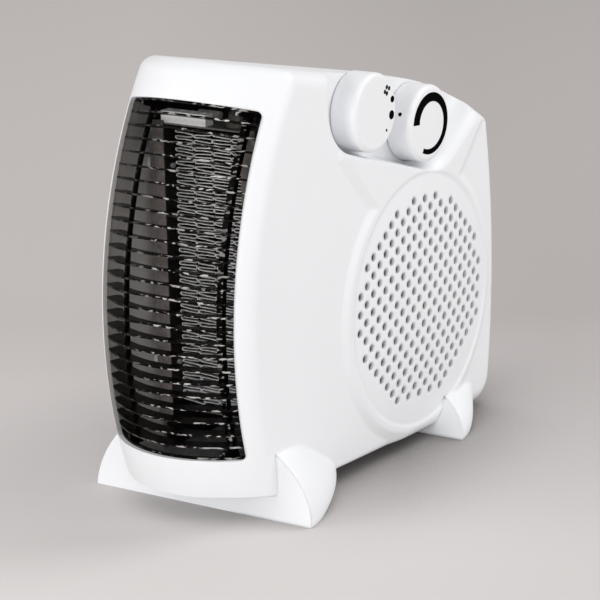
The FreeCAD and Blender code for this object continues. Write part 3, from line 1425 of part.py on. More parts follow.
nodes = [
    make_right_shell(),
    make_left_shell(),
    make_front_grille(),
    make_knob("switch_knob", "switch_y", "switch_z"),
    make_knob("thermostat_knob", "thermostat_y", "thermostat_z"),
    make_spindle("switch_spindle", "switch_length", "switch_y", "switch_z"),
    make_spindle("thermostat_spindle", "thermostat_length", "thermostat_y", "thermostat_z"),
    make_switch(),
    make_thermostat(),
    make_control_screws(),
    make_case_screws(),
    make_impeller(),
    make_impeller_nut(),
    rod_x("motor_shaft", "shaft_radius", ("-shaft_left", "shaft_right"), "fan_y", "fan_z"),
    make_rotor(),
    make_motor_core(),
    make_bobbin(),
    make_coil(),
    make_bridge("left_bearing_bridge", CORE_LEFT, -1),
    make_bridge("right_bearing_bridge", CORE_RIGHT, 1),
    make_bushes(),
    make_motor_screws(),
    make_partition(),
    make_partition_screws(),
    make_side_board("left_side_board", -1),
    make_side_board("right_side_board", 1),
    make_cross_boards(),
    make_heat_ribbon("low_heat_ribbon", -1),
    make_heat_ribbon("high_heat_ribbon", 1),
    make_ceramic_strip(),
    make_cutout(),
    make_fuse(),
    make_cord_bush(),
    make_clamp(),
    make_clamp_screws(),
]

doc.recompute()
for obj in doc.Objects:
    if "Invalid" in obj.State or "Error" in obj.State:
        raise ValueError(f"{obj.Label} failed to build")
for obj in nodes:
    if obj.Shape.isNull() or not obj.Shape.isValid() or not obj.Shape.Solids:
        raise ValueError(f"{obj.Label} has no valid solid")

os.makedirs("parts", exist_ok=True)
for obj in nodes:
    obj.Shape.exportStep(f"parts/{obj.Label}.step")
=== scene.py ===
import json
import math
import random

import bpy
from mathutils import Matrix, Vector

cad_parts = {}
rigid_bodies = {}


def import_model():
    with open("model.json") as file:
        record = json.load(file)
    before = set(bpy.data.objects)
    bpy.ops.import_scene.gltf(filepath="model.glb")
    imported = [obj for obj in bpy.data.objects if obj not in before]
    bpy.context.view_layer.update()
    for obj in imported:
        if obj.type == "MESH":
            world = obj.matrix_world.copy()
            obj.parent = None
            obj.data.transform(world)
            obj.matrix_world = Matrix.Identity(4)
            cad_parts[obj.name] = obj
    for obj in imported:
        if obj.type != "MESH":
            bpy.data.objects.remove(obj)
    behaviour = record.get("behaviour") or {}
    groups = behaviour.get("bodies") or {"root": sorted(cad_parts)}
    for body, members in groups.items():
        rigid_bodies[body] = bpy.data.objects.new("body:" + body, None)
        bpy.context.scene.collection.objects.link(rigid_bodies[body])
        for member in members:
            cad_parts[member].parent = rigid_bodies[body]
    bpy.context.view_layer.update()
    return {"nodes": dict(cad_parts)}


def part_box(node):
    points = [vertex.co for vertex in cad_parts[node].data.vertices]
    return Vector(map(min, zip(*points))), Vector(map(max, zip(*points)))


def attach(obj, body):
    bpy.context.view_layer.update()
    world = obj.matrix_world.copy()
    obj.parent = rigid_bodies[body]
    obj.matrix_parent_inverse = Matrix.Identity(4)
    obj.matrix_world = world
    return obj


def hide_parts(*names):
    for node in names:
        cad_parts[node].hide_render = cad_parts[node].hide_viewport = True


for old in list(bpy.data.objects):
    bpy.data.objects.remove(old)

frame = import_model()
nodes = frame["nodes"]
scene = bpy.context.scene
MM = 0.001


# Small helpers


def link(obj):
    scene.collection.objects.link(obj)
    return obj


def mesh_object(name, points, faces, material, smooth=True):
    """Object from points in millimetres."""
    mesh = bpy.data.meshes.new(name)
    mesh.from_pydata([Vector(p) * MM for p in points], [], faces)
    mesh.validate()
    mesh.update()
    if smooth:
        for face in mesh.polygons:
            face.use_smooth = True
    mesh.materials.append(material)
    return link(bpy.data.objects.new(name, mesh))


class Nodes:
    """Thin wrapper that builds one material's node tree."""

    def __init__(self, name):
        self.material = bpy.data.materials.new(name)
        self.material.use_nodes = True
        self.tree = self.material.node_tree
        self.shader = self.tree.nodes["Principled BSDF"]

    def new(self, kind, **values):
        """Node with its settings and inputs set by name, where _ stands for a space in an input's name."""
        node = self.tree.nodes.new(kind)
        for key, value in values.items():
            if hasattr(node, key):
                setattr(node, key, value)
            else:
                node.inputs[key.replace("_", " ")].default_value = value
        return node

    def wire(self, start, end):
        self.tree.links.new(start, end)

    def set(self, **values):
        """Values on the shader's own sockets."""
        for key, value in values.items():
            self.shader.inputs[key.replace("_", " ")].default_value = value

    def place(self, scale=(1.0, 1.0, 1.0)):
        """Object coordinates in metres, stretched."""
        where = self.new("ShaderNodeTexCoord")
        mapping = self.new("ShaderNodeMapping", Scale=scale)
        self.wire(where.outputs["Object"], mapping.inputs["Vector"])
        return mapping.outputs["Vector"]

    def noise(self, scale, detail=2.0, roughness=0.5, stretch=(1.0, 1.0, 1.0)):
        texture = self.new("ShaderNodeTexNoise", Scale=scale, Detail=detail, Roughness=roughness)
        self.wire(self.place(stretch), texture.inputs["Vector"])
        return texture.outputs["Fac"]

    def ramp(self, source, stops):
        node = self.new("ShaderNodeValToRGB")
        elements = node.color_ramp.elements
        while len(elements) < len(stops):
            elements.new(0.5)
        for element, (at, colour) in zip(elements, stops):
            element.position = at
            element.color = (*colour, 1.0)
        self.wire(source, node.inputs["Fac"])
        return node.outputs["Color"]

    def cloudy(self, cloud, first, second):
        """Colour that drifts between two with a noise."""
        return self.ramp(cloud, ((0.3, first), (0.7, second)))

    def between(self, source, low, high, start=0.0, end=1.0):
        """Source from low..high to start..end, held at the ends."""
        node = self.new("ShaderNodeMapRange", From_Min=low, From_Max=high, To_Min=start, To_Max=end)
        self.wire(source, node.inputs["Value"])
        return node.outputs["Result"]

    def bump(self, source, height_mm, strength=1.0, normal=None):
        """Fine relief, on top of another normal where one is given."""
        node = self.new("ShaderNodeBump", Strength=strength, Distance=height_mm * MM)
        self.wire(source, node.inputs["Height"])
        if normal:
            self.wire(normal, node.inputs["Normal"])
        self.wire(node.outputs["Normal"], self.shader.inputs["Normal"])

    def eased(self, radius_mm):
        """Normal of a surface whose edges are rounded by a small radius."""
        return self.new("ShaderNodeBevel", samples=8, Radius=radius_mm * MM).outputs["Normal"]

    def openness(self, reach_mm):
        """Share of the sky a point sees within a reach: 1 in the open, 0 deep in a hole."""
        return self.new("ShaderNodeAmbientOcclusion", samples=6, Distance=reach_mm * MM).outputs["AO"]

    def measured(self, operation, source, fixed):
        """One number from a vector socket and a fixed vector."""
        node = self.new("ShaderNodeVectorMath", operation=operation)
        node.inputs[1].default_value = fixed
        self.wire(source, node.inputs[0])
        return node.outputs["Value"]

    def along(self, direction):
        """Distance along a direction in metres, from the object's origin."""
        return self.measured("DOT_PRODUCT", self.place(), direction)

    def from_axis(self, centre):
        """Distance in metres from a line along X through a point."""
        return self.measured("DISTANCE", self.place((0.0, 1.0, 1.0)), (0.0, centre.y, centre.z))

    def facing(self, direction):
        """How far the surface faces a direction, from -1 to 1."""
        normal = self.new("ShaderNodeTexCoord").outputs["Normal"]
        return self.measured("DOT_PRODUCT", normal, direction)

    def combined(self, operation, first, second):
        node = self.new("ShaderNodeMath", operation=operation)
        self.wire(first, node.inputs[0])
        self.wire(second, node.inputs[1])
        return node.outputs["Value"]

    def mixed(self, kind, share, first, second):
        """Mix of two sockets, either vectors or colours."""
        node = self.new("ShaderNodeMix", data_type=kind)
        ends = [i for i in node.inputs if i.enabled]
        self.wire(share, ends[0])
        self.wire(first, ends[1])
        self.wire(second, ends[2])
        return [o for o in node.outputs if o.enabled][0]

    def colour(self, socket):
        self.wire(socket, self.shader.inputs["Base Color"])

    def rough(self, source, low, high):
        self.wire(self.between(source, 0.0, 1.0, low, high), self.shader.inputs["Roughness"])


PLAIN = (1.0, 1.0, 1.0)
COOL = (0.957, 0.975, 1.0)
WARM = (1.0, 0.95, 0.91)
CREAM = (1.0, 0.97, 0.9)
BROWN = (1.0, 0.85, 0.7)
TO_RIGHT = (1.0, 0.0, 0.0)
TO_FRONT = (0.0, -1.0, 0.0)
TO_REAR = (0.0, 1.0, 0.0)


def shade(value, tint=PLAIN):
    """Colour of a lightness and a tint."""
    return tuple(value * t for t in tint)


# Plastics

fan_low, fan_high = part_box("impeller")
FAN = (fan_low + fan_high) / 2
INTAKE_RADIUS = 61.0
INTAKE_FADE = 1.5
HOLE_OPENNESS = (0.22, 0.85)
PAINTED_SHADE_FADE = 5.0
INNER_WALL = (0.8, 0.95)


def moulded(name, tones, rough, grain_mm, grain_height, tint=PLAIN, gloss=0.5, edge_mm=0.0,
            eased_from=None, painted_shade_from=None, hole_shade_mm=0.0):
    """Moulded plastic: faint cloudiness in the colour, fine spark-eroded grain, eased edges.

    Where eased_from is given, edges are eased only beyond that distance from the middle plane.
    Where a reach for the holes is given, the intake holes get painted shade, near black, inside, by their
    openness within that reach.
    Where a y for painted shade is given, a wall that faces +X is yellowed by heat, and has painted shade,
    near black, behind that y."""
    m = Nodes(name)
    cloud = m.noise(18.0, 3.0)
    colour = m.cloudy(cloud, shade(tones[0], tint), shade(tones[1], tint))
    # Painted shade deep in the intake holes, darker where a point sees less sky.
    if hole_shade_mm:
        painted_hole_shade = m.cloudy(cloud, shade(0.04, WARM), shade(0.06, WARM))
        outside = m.between(m.from_axis(FAN), INTAKE_RADIUS * MM, (INTAKE_RADIUS + INTAKE_FADE) * MM)
        unshaded = m.combined("MAXIMUM", m.between(m.openness(hole_shade_mm), *HOLE_OPENNESS), outside)
        colour = m.mixed("RGBA", unshaded, painted_hole_shade, colour)
    # Painted shade, near black, on the inner wall behind the given y, where the enclosed interior lies in
    # shade.
    if painted_shade_from:
        yellowed = m.cloudy(cloud, shade(0.84, WARM), shade(0.88, WARM))
        painted_shade = m.cloudy(cloud, shade(0.008, WARM), shade(0.014, WARM))
        behind = m.between(m.along(TO_REAR), painted_shade_from * MM, (painted_shade_from + PAINTED_SHADE_FADE) * MM)
        inner = m.between(m.facing(TO_RIGHT), *INNER_WALL)
        colour = m.mixed("RGBA", inner, colour, m.mixed("RGBA", behind, yellowed, painted_shade))
    m.colour(colour)
    grain = m.noise(1.0 / (grain_mm * MM), 2.0, 0.6)
    m.rough(grain, *rough)
    normal = m.eased(edge_mm) if edge_mm else None
    if eased_from:
        share = m.between(m.along(TO_RIGHT), eased_from * MM, 2 * eased_from * MM)
        normal = m.mixed("VECTOR", share, m.new("ShaderNodeNewGeometry").outputs["Normal"], normal)
    m.bump(grain, grain_height, 1.0, normal)
    m.set(IOR=1.5, Specular_IOR_Level=gloss)
    return m.material


CASING = {"tones": (0.855, 0.87), "rough": (0.36, 0.46), "grain_mm": 0.7, "grain_height": 0.010,
          "tint": COOL, "gloss": 0.4}
casing_white = moulded("casing_white", **CASING, edge_mm=2.2, eased_from=12.0, hole_shade_mm=3.0)
casing_white_left = moulded("casing_white_left", **CASING, painted_shade_from=-62.0)
knob_white = moulded("knob_white", (0.86, 0.875), (0.30, 0.38), 0.7, 0.006, COOL, gloss=0.4, edge_mm=0.6)
fan_dark = moulded("fan_dark", (0.05, 0.07), (0.4, 0.5), 0.8, 0.01)
print_black = moulded("print_black", (0.002, 0.004), (0.5, 0.6), 0.5, 0.004, gloss=0.0)
nylon = moulded("nylon", (0.60, 0.66), (0.4, 0.5), 1.0, 0.01, CREAM)
phenolic = moulded("phenolic", (0.05, 0.07), (0.35, 0.5), 1.2, 0.015, BROWN)
rubber = moulded("rubber", (0.62, 0.66), (0.55, 0.65), 0.6, 0.015, COOL)


def gloss_black_grille():
    """Glossy black moulding with painted highlights: broken bright lines painted along its front edges, fewer
    on the left.
    """
    m = Nodes("gloss_black")
    cloud = m.noise(60.0, 2.0)
    body = m.cloudy(cloud, (0.0030, 0.0024, 0.0022), (0.0060, 0.0046, 0.0040))
    # Painted highlight colour: broken bright lines on front-facing faces, fading out towards the left.
    bright = m.cloudy(cloud, (0.22, 0.21, 0.205), (0.60, 0.585, 0.575))
    front = m.between(m.facing(TO_FRONT), 0.45, 0.75)
    dashes = m.between(m.noise(330.0, 1.0, 0.5, (1.0, 0.2, 2.2)), 0.53, 0.60)
    highlight_side_share = m.between(m.along(TO_RIGHT), -0.012, 0.002, 0.12, 1.0)
    painted_highlight = m.combined("MULTIPLY", front, m.combined("MULTIPLY", dashes, highlight_side_share))
    m.colour(m.mixed("RGBA", painted_highlight, body, bright))
    grain = m.noise(600.0, 2.0, 0.6)
    m.rough(grain, 0.20, 0.30)
    m.bump(grain, 0.012, 1.0, m.eased(0.3))
    m.set(IOR=1.5, Specular_IOR_Level=0.03)
    return m.material


gloss_black = gloss_black_grille()


# Metals


def metal(name, dark, bright, rough, stretch, scale, metallic=1.0):
    """Bare metal with fine drawn or turned lines."""
    m = Nodes(name)
    lines = m.noise(scale, 4.0, 0.6, stretch)
    m.colour(m.ramp(lines, ((0.25, dark), (0.75, bright))))
    m.rough(lines, *rough)
    m.bump(lines, 0.01, 0.6)
    m.set(Metallic=metallic)
    return m.material


zinc_steel = metal("zinc_steel", shade(0.45), shade(0.62), (0.28, 0.42), (1.0, 6.0, 6.0), 900.0)
brass = metal("brass", (0.55, 0.40, 0.16), (0.72, 0.55, 0.25), (0.25, 0.38), (1.0, 5.0, 5.0), 800.0)
rotor_metal = metal("rotor_metal", shade(0.35), shade(0.5), (0.3, 0.5), (40.0, 1.0, 1.0), 120.0)
nickel_chrome = metal("nickel_chrome", (0.62, 0.60, 0.59), (0.99, 0.98, 0.97), (0.2, 0.36),
                      (1.0, 1.0, 1.6), 260.0, metallic=0.15)
enamelled_copper = metal("enamelled_copper", (0.42, 0.12, 0.04), (0.62, 0.24, 0.10), (0.2, 0.3),
                         (1.0, 1.0, 8.0), 200.0)


def laminated():
    """Stacked sheet steel: a fine band across the stack for each sheet."""
    m = Nodes("laminated_steel")
    wave = m.new("ShaderNodeTexWave", wave_type="BANDS", bands_direction="X", Scale=310.0, Distortion=0.6)
    m.wire(m.place(), wave.inputs["Vector"])
    m.colour(m.ramp(wave.outputs["Fac"], ((0.1, shade(0.06)), (0.6, shade(0.30)))))
    m.rough(m.noise(400.0, 3.0), 0.35, 0.6)
    m.bump(wave.outputs["Fac"], 0.05)
    m.set(Metallic=1.0)
    return m.material


laminated_steel = laminated()


# Mica and ceramic


def mica_sheet():
    """Pressed mica: painted shade, near black, on faces that don't face the front, grey-buff on faces that
    do, with flakes that catch the light.
    """
    m = Nodes("mica_sheet")
    flake = m.new("ShaderNodeTexVoronoi", Scale=420.0)
    m.wire(m.place(), flake.inputs["Vector"])
    # Painted shade: faces turned away from the front are near black; front faces stay grey-buff.
    painted_shade_mica = m.ramp(flake.outputs["Color"], ((0.15, (0.012, 0.009, 0.007)), (0.85, (0.024, 0.018, 0.015))))
    front_mica = m.ramp(flake.outputs["Color"], ((0.15, (0.13, 0.112, 0.104)), (0.85, (0.19, 0.168, 0.157))))
    m.colour(m.mixed("RGBA", m.between(m.facing(TO_FRONT), 0.6, 0.9), painted_shade_mica, front_mica))
    m.rough(m.noise(260.0, 3.0), 0.25, 0.5)
    m.bump(flake.outputs["Distance"], 0.03)
    m.set(IOR=1.58)
    return m.material


def glazed_ceramic():
    """Steatite: dense white, slightly speckled."""
    m = Nodes("glazed_ceramic")
    speck = m.noise(700.0, 3.0, 0.7)
    m.colour(m.ramp(speck, ((0.3, (0.90, 0.89, 0.875)), (0.6, (0.95, 0.95, 0.94)))))
    m.rough(speck, 0.18, 0.35)
    m.bump(m.noise(250.0, 2.0), 0.02)
    return m.material


mica = mica_sheet()
ceramic = glazed_ceramic()

# Which node is made of what
MATERIALS = {
    casing_white: ("right_shell",),
    casing_white_left: ("left_shell",),
    gloss_black: ("front_grille",),
    knob_white: ("switch_knob", "thermostat_knob"),
    zinc_steel: ("control_screws", "case_screws", "motor_shaft", "motor_screws", "partition_screws",
                 "clamp_screws", "left_bearing_bridge", "right_bearing_bridge"),
    phenolic: ("rotary_switch", "thermostat", "thermal_cutout"),
    nylon: ("switch_spindle", "thermostat_spindle", "coil_bobbin", "partition_plate", "cord_clamp",
            "thermal_fuse"),
    fan_dark: ("impeller",),
    brass: ("impeller_nut", "bearing_bushes"),
    rotor_metal: ("motor_rotor",),
    laminated_steel: ("motor_core",),
    mica: ("left_side_board", "right_side_board", "cross_boards"),
    ceramic: ("ceramic_strip",),
    rubber: ("cord_bush",),
}
for material, names in MATERIALS.items():
    for name in names:
        data = nodes[name].data
        data.materials.clear()
        data.materials.append(material)

# Prints on the knobs, in millimetres from the middle of each knob's face
switch_low, switch_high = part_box("switch_knob")
thermostat_low, thermostat_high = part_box("thermostat_knob")


def face_centre(low, high):
    middle = (low + high) / 2 / MM
    return Vector((high.x / MM, middle.y, middle.z))


SWITCH = face_centre(switch_low, switch_high)
THERMOSTAT = face_centre(thermostat_low, thermostat_high)
PRINT_HEIGHT = 0.08
PRINT_LEVELS = (-PRINT_HEIGHT / 2, PRINT_HEIGHT)


def printed(name, points, faces, body, smooth=False):
    """Piece of print that turns with a knob."""
    piece = mesh_object(name, points, faces, print_black, smooth)
    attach(piece, body)


def face_print(name, outlines, centre, body):
    """Thin raised print on a knob's face from closed outlines given as y, z round the knob's axis."""
    points = []
    faces = []
    for outline in outlines:
        start = len(points)
        count = len(outline)
        for lift in PRINT_LEVELS:
            points.extend((centre.x + lift, centre.y + y, centre.z + z) for y, z in outline)
        faces.append(list(range(start + count, start + 2 * count)))
        faces.append(list(range(start + count - 1, start - 1, -1)))
        for i in range(count):
            j = (i + 1) % count
            faces.append([start + i, start + j, start + count + j, start + count + i])
    printed(name, points, faces, body)


SPOT_STEPS = 40


def spot(y, z, across, up, turn=0.0):
    """Outline of an oval spot at y, z, with half sizes across and up, turned by degrees."""
    cosine = math.cos(math.radians(turn))
    sine = math.sin(math.radians(turn))
    outline = []
    for i in range(SPOT_STEPS):
        angle = 2 * math.pi * i / SPOT_STEPS
        u = across * math.cos(angle)
        v = up * math.sin(angle)
        outline.append((y + u * cosine - v * sine, z + u * sine + v * cosine))
    return outline


# Fan sign: leaves as angle and distance from its middle; heat dots as y, z and radius
FAN_SIGN = (9.95, 9.2)
FAN_LEAVES = ((15.0, 2.0), (94.0, 1.5), (195.0, 1.9), (267.0, 1.6))
LEAF_HALF_WIDTH = 0.96
LEAF_HALF_LENGTH = 1.08
LEAF_LEAN = -30.0
HEAT_DOTS = ((14.75, 4.05, 1.65), (13.9, -3.4, 2.2), (9.2, -10.0, 0.7))

switch_marks = []
for angle, distance in FAN_LEAVES:
    leaf_y = FAN_SIGN[0] + distance * math.cos(math.radians(angle))
    leaf_z = FAN_SIGN[1] + distance * math.sin(math.radians(angle))
    switch_marks.append(spot(leaf_y, leaf_z, LEAF_HALF_WIDTH, LEAF_HALF_LENGTH, LEAF_LEAN))
for y, z, radius in HEAT_DOTS:
    switch_marks.append(spot(y, z, radius, radius))
face_print("switch_marks", switch_marks, SWITCH, "switch_knob")

SCALE_START = 174.0
SCALE_END = -119.0
SCALE_RADIUS = 15.2
SCALE_STRETCH = 1.07
SCALE_SHIFT = 0.5
SCALE_THICK = 5.4
SCALE_THIN = 2.4
SCALE_STEPS = 96


def scale_print(name, centre, body):
    """Band that tapers clockwise round a knob's face, built from four-sided patches."""
    outside = []
    inside = []
    for i in range(SCALE_STEPS + 1):
        share = i / SCALE_STEPS
        angle = math.radians(SCALE_START + (SCALE_END - SCALE_START) * share)
        inner = SCALE_RADIUS - SCALE_THICK + (SCALE_THICK - SCALE_THIN) * share
        across = SCALE_STRETCH * math.cos(angle)
        outside.append((SCALE_SHIFT + SCALE_RADIUS * across, SCALE_RADIUS * math.sin(angle)))
        inside.append((SCALE_SHIFT + inner * across, inner * math.sin(angle)))
    points = []
    for lift in PRINT_LEVELS:
        for side in (outside, inside):
            points.extend((centre.x + lift, centre.y + y, centre.z + z) for y, z in side)
    low_out, low_in, high_out, high_in = range(0, len(points), SCALE_STEPS + 1)
    faces = []
    for i in range(SCALE_STEPS):
        faces.append([high_out + i, high_in + i, high_in + i + 1, high_out + i + 1])
        faces.append([low_out + i + 1, low_in + i + 1, low_in + i, low_out + i])
        faces.append([low_out + i, high_out + i, high_out + i + 1, low_out + i + 1])
        faces.append([low_in + i + 1, high_in + i + 1, high_in + i, low_in + i])
    faces.append([low_out, low_in, high_in, high_out])
    faces.append([end + SCALE_STEPS for end in (low_in, low_out, high_out, high_in)])
    printed(name, points, faces, body)


scale_print("thermostat_scale", THERMOSTAT, "thermostat_knob")

MARK_ANGLE = 158.0
MARK_FROM_FACE = 6.4
MARK_RADIUS = 1.0
MARK_RINGS = (0.35, 0.7, 1.0)
MARK_STEPS = 24
KNOB_RADIUS = (thermostat_high.y - thermostat_low.y) / MM / 2


def side_mark(name, centre, body):
    """Small round print on a knob's side, wrapped round it."""
    points = []
    for lift in PRINT_LEVELS:
        out = KNOB_RADIUS + lift
        for ring in MARK_RINGS:
            for i in range(MARK_STEPS):
                turn = 2 * math.pi * i / MARK_STEPS
                angle = math.radians(MARK_ANGLE) + ring * MARK_RADIUS * math.cos(turn) / KNOB_RADIUS
                points.append((centre.x - MARK_FROM_FACE + ring * MARK_RADIUS * math.sin(turn),
                               centre.y + out * math.cos(angle), centre.z + out * math.sin(angle)))
    layer = len(MARK_RINGS) * MARK_STEPS
    rim = layer - MARK_STEPS
    faces = [list(range(MARK_STEPS)), list(range(layer + MARK_STEPS - 1, layer - 1, -1))]
    for i in range(MARK_STEPS):
        j = (i + 1) % MARK_STEPS
        for a in range(0, rim, MARK_STEPS):
            b = a + MARK_STEPS
            faces.append([a + j, a + i, b + i, b + j])
            faces.append([layer + a + i, layer + a + j, layer + b + j, layer + b + i])
        faces.append([rim + j, rim + i, layer + rim + i, layer + rim + j])
    printed(name, points, faces, body, smooth=True)


side_mark("thermostat_pointer", THERMOSTAT, "thermostat_knob")

# Heating ribbons: corrugated strip, down one column and up the next
ribbon_low, ribbon_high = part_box("low_heat_ribbon")
RIBBON_FRONT = ribbon_low.y / MM
RIBBON_DEEP = (ribbon_high.y - ribbon_low.y) / MM
ROOM_BELOW = 1.25
ROOM_ABOVE = 0.75
RIBBON_BOTTOM = ribbon_low.z / MM + ROOM_BELOW
RIBBON_TOP = ribbon_high.z / MM - ROOM_ABOVE
RIBBON_COLUMNS = {"low_heat_ribbon": (-15.6, -5.0), "high_heat_ribbon": (5.6, 16.2)}
RIBBON_THICK = 0.5
RIBBON_PITCH = 1.5
RIBBON_HALF_RUN = 4.3
CROSSING_DROP = 0.4
UNEVEN_REACH = 0.25
UNEVEN_SLOPE = 0.3
UNEVEN_MIDDLE = 0.2
WINDING_SEED = 7
BEND_STEPS = 6
SECTION = ((0.0, 0.5), (0.1, 0.9), (0.3, 1.0), (1.0, 1.0))


def ribbon_runs(columns, draw):
    """Ends of the strip's level runs as x, z, a little uneven as a wound strip is."""
    count = int((RIBBON_TOP - RIBBON_BOTTOM) / RIBBON_PITCH)
    levels = [RIBBON_TOP - i * RIBBON_PITCH for i in range(count + 1)]
    places = [(level, columns[0]) for level in levels] + [(level, columns[1]) for level in reversed(levels)]
    runs = []
    forward = count % 2 == 0
    for i, (level, column) in enumerate(places):
        reach = RIBBON_HALF_RUN + draw.uniform(-UNEVEN_REACH, UNEVEN_REACH)
        if not forward:
            reach = -reach
        if i != count:
            forward = not forward
        slope = draw.uniform(-UNEVEN_SLOPE, UNEVEN_SLOPE)
        runs.append(((column - reach, level - slope), (column + reach, level + slope)))
    crossing_end = (columns[1] - RIBBON_HALF_RUN, RIBBON_BOTTOM - CROSSING_DROP)
    runs[count] = (runs[count][0], crossing_end)
    return runs


def ribbon_path(columns, draw):
    """Middle line of the strip as x, z: level runs joined by half rounds."""
    runs = ribbon_runs(columns, draw)
    path = []
    for i, (start, stop) in enumerate(runs):
        path.append(start)
        lift = draw.uniform(-UNEVEN_MIDDLE, UNEVEN_MIDDLE)
        path.append(((start[0] + stop[0]) / 2, (start[1] + stop[1]) / 2 + lift))
        path.append(stop)
        if i + 1 < len(runs):
            after = runs[i + 1][0]
            side = 1 if stop[0] > start[0] else -1
            bulge = side * abs(after[1] - stop[1]) / 2
            for j in range(1, BEND_STEPS):
                angle = math.pi * j / BEND_STEPS
                share = (1 - math.cos(angle)) / 2
                path.append((stop[0] + (after[0] - stop[0]) * share + bulge * math.sin(angle),
                             stop[1] + (after[1] - stop[1]) * share))
    return path


def strip(name, path, material):
    """Flat strip on edge along a path of x, z, with a rounded front edge."""
    section = [(share * RIBBON_DEEP, half * RIBBON_THICK / 2) for share, half in SECTION]
    section = section + [(y, -half) for y, half in reversed(section)]
    count = len(section)
    last = len(path) - 1
    points = []
    faces = []
    for i, (x, z) in enumerate(path):
        x0, z0 = path[max(i - 1, 0)]
        x1, z1 = path[min(i + 1, last)]
        along = Vector((x1 - x0, z1 - z0)).normalized()
        for y, half in section:
            points.append((x - half * along.y, RIBBON_FRONT + y, z + half * along.x))
    for i in range(last):
        for j in range(count):
            k = (j + 1) % count
            faces.append([count * i + j, count * i + k, count * (i + 1) + k, count * (i + 1) + j])
    faces.append(list(range(count - 1, -1, -1)))
    faces.append([count * last + j for j in range(count)])
    return mesh_object(name, points, faces, material)


draw = random.Random(WINDING_SEED)
for circuit, columns in RIBBON_COLUMNS.items():
    wound = strip(circuit + "_wound", ribbon_path(columns, draw), nickel_chrome)
    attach(wound, "casing")
    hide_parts(circuit)

# Motor winding: layers of enamelled wire round the bobbin
coil_low, coil_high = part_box("motor_coil")
coil_size = (coil_high - coil_low) / MM
coil_centre = (coil_high + coil_low) / 2 / MM
WIRE = 0.8
WIRE_SIDES = 6
WINDING_LAYERS = 3
LAYER_STEP = 0.87 * WIRE
CORNER = 4.0
CORNER_STEPS = 6
QUARTER_SIGNS = ((1, 1), (-1, 1), (-1, -1), (1, -1))


def winding_layer(inset, start_x):
    """One layer of turns along x as points: rounded rectangles that advance by one wire each turn."""
    corner = CORNER - inset
    side_y = coil_size.y / 2 - inset - corner
    side_z = coil_size.z / 2 - inset - corner
    outline = []
    for quarter, (sign_y, sign_z) in enumerate(QUARTER_SIGNS):
        for j in range(CORNER_STEPS + 1):
            angle = math.radians(90 * quarter + 90 * j / CORNER_STEPS)
            outline.append((sign_y * side_y + corner * math.cos(angle),
                            sign_z * side_z + corner * math.sin(angle)))
    turns = int((coil_size.x - 2 * WIRE) / WIRE)
    path = []
    for i in range(turns * len(outline)):
        y, z = outline[i % len(outline)]
        path.append(Vector((start_x + WIRE * i / len(outline), coil_centre.y + y, coil_centre.z + z)))
    return path


def add_wire(path, points, faces):
    """Adds a round wire along a path to points and faces."""
    start = len(points)
    last = len(path) - 1
    for i, point in enumerate(path):
        along = (path[min(i + 1, last)] - path[max(i - 1, 0)]).normalized()
        across = along.cross(Vector((1, 0, 0))).normalized()
        level = along.cross(across)
        for j in range(WIRE_SIDES):
            angle = 2 * math.pi * j / WIRE_SIDES
            points.append(point + (across * math.cos(angle) + level * math.sin(angle)) * WIRE / 2)
    for i in range(last):
        a = start + WIRE_SIDES * i
        b = a + WIRE_SIDES
        for j in range(WIRE_SIDES):
            k = (j + 1) % WIRE_SIDES
            faces.append([a + j, a + k, b + k, b + j])
    faces.append([start + j for j in reversed(range(WIRE_SIDES))])
    faces.append([start + WIRE_SIDES * last + j for j in range(WIRE_SIDES)])


coil_points = []
coil_faces = []
for layer in range(WINDING_LAYERS):
    inset = WIRE / 2 + LAYER_STEP * layer
    shift = WIRE / 2 * (1 + layer % 2)
    add_wire(winding_layer(inset, coil_low.x / MM + shift), coil_points, coil_faces)
winding = mesh_object("motor_winding", coil_points, coil_faces, enamelled_copper)
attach(winding, "casing")
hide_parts("motor_coil")

# Floor: pale, darker away from the front of the object, with painted light on its left, painted shade on its
# right and painted shadows beside and under it, by distances in metres
AWAY = (-0.55, 0.835, 0.0)
ASIDE = (0.835, 0.55, 0.0)
FLOOR_TONES = ((0.0, (0.70, 0.675, 0.668)), (0.08, (0.655, 0.630, 0.622)), (0.26, (0.512, 0.484, 0.477)),
               (1.0, (0.56, 0.530, 0.523)))
TONES_START = -0.15
TONES_END = 1.35
PAINTED_LIGHT_LEFT = 1.05
PAINTED_SHADE_RIGHT = 0.88
PAINTED_SHADOW_BESIDE = 0.30
PAINTED_SHADOW_UNDER_LEFT = 0.75
PAINTED_SHADOW_UNDER_RIGHT = 0.33
SIDES_FADE = (-0.15, 0.15)
BESIDE_FADE = (-0.02, 0.05)
UNDER_FADE = (-0.05, 0.0)
BESIDE_REACH = 120.0
BESIDE_OPENNESS = (0.78, 0.45)
UNDER_REACH = 28.0
UNDER_OPENNESS = (0.12, 0.55)
FLOOR_HALF = 8000.0


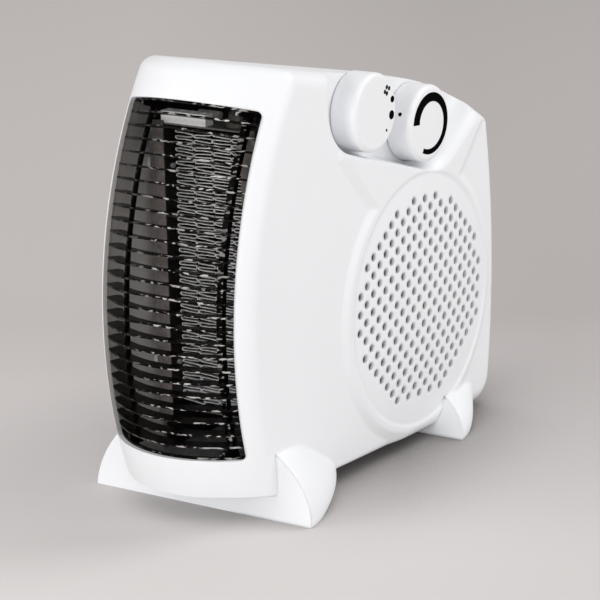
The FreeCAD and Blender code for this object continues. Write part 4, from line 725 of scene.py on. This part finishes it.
def studio_floor():
    """Matt floor, toned by distance, with painted light and shade by side, and painted shadows beside the
    object and where it covers the floor.
    """
    m = Nodes("floor")
    m.set(Roughness=0.9, Specular_IOR_Level=0.1)
    away = m.between(m.along(AWAY), TONES_START, TONES_END)
    aside = m.along(ASIDE)

    def toned(factor):
        return m.ramp(away, [(at, shade(factor, tone)) for at, tone in FLOOR_TONES])

    # Painted light on the left of the floor, painted shade on its right.
    open_floor = m.mixed("RGBA", m.between(aside, *SIDES_FADE), toned(PAINTED_LIGHT_LEFT), toned(PAINTED_SHADE_RIGHT))
    # Painted shadow on the floor beside the object's right side, by openness.
    closeness = m.between(m.openness(BESIDE_REACH), *BESIDE_OPENNESS)
    beside = m.combined("MULTIPLY", closeness, m.between(aside, *BESIDE_FADE))
    with_painted_shadow = m.mixed("RGBA", beside, open_floor, toned(PAINTED_SHADOW_BESIDE))
    # Painted shadow under the object, lighter on its left, by openness.
    under = m.between(aside, *UNDER_FADE)
    painted_shadow_under = m.mixed("RGBA", under, toned(PAINTED_SHADOW_UNDER_LEFT), toned(PAINTED_SHADOW_UNDER_RIGHT))
    uncovered = m.between(m.openness(UNDER_REACH), *UNDER_OPENNESS)
    m.colour(m.mixed("RGBA", uncovered, painted_shadow_under, with_painted_shadow))
    return m.material


floor_corners = [(x * FLOOR_HALF, y * FLOOR_HALF, 0) for x, y in ((-1, -1), (1, -1), (1, 1), (-1, 1))]
ground = mesh_object("floor", floor_corners, [[0, 1, 2, 3]], studio_floor(), smooth=False)

# Light: softboxes as place in metres, width, height and watts
WORLD_COLOUR = (1.0, 0.98, 0.97, 1.0)
WORLD_STRENGTH = 0.634
AIM = Vector((0.0, 0.0, 0.1))
SOFTBOXES = {
    "front_softbox": ((0.2, -2.0, 0.32), 0.6, 0.5, 11.3),
    "corner_softbox": ((1.3, -1.6, 0.5), 0.8, 0.8, 5.4),
    "side_softbox": ((2.0, 0.3, 0.9), 1.2, 1.2, 7.9),
    "rear_softbox": ((1.0, 1.3, 1.6), 1.0, 1.0, 15.6),
    "left_softbox": ((-1.3, -1.4, 0.9), 1.0, 1.0, 8.6),
}

world = bpy.data.worlds.new("studio")
world.use_nodes = True
background = world.node_tree.nodes["Background"]
background.inputs["Color"].default_value = WORLD_COLOUR
background.inputs["Strength"].default_value = WORLD_STRENGTH
scene.world = world


def softbox(name, place, width, height, power):
    data = bpy.data.lights.new(name, "AREA")
    data.shape = "RECTANGLE"
    data.size = width
    data.size_y = height
    data.energy = power
    lamp = link(bpy.data.objects.new(name, data))
    lamp.location = place
    lamp.rotation_euler = (AIM - Vector(place)).to_track_quat("-Z", "Y").to_euler()


for name, settings in SOFTBOXES.items():
    softbox(name, *settings)

# Camera: its place in millimetres, and which way the picture's right and up point in the frame
CAMERA_PLACE = (676.65, -1019.09, 427.04)
PICTURE_RIGHT = (0.83618, 0.54808, -0.02014)
PICTURE_UP = (-0.13391, 0.23965, 0.96158)
LENS = 156.0
SENSOR = 36.0

camera_data = bpy.data.cameras.new("camera")
camera_data.sensor_width = SENSOR
camera_data.lens = LENS
camera_data.clip_start = 0.05
camera_data.clip_end = 60.0
camera = link(bpy.data.objects.new("camera", camera_data))
right = Vector(PICTURE_RIGHT)
up = Vector(PICTURE_UP)
back = right.cross(up).normalized()
turn = Matrix((right, up, back)).transposed().to_4x4()
camera.matrix_world = Matrix.Translation(Vector(CAMERA_PLACE) * MM) @ turn
scene.camera = camera

scene.view_settings.view_transform = "Standard"
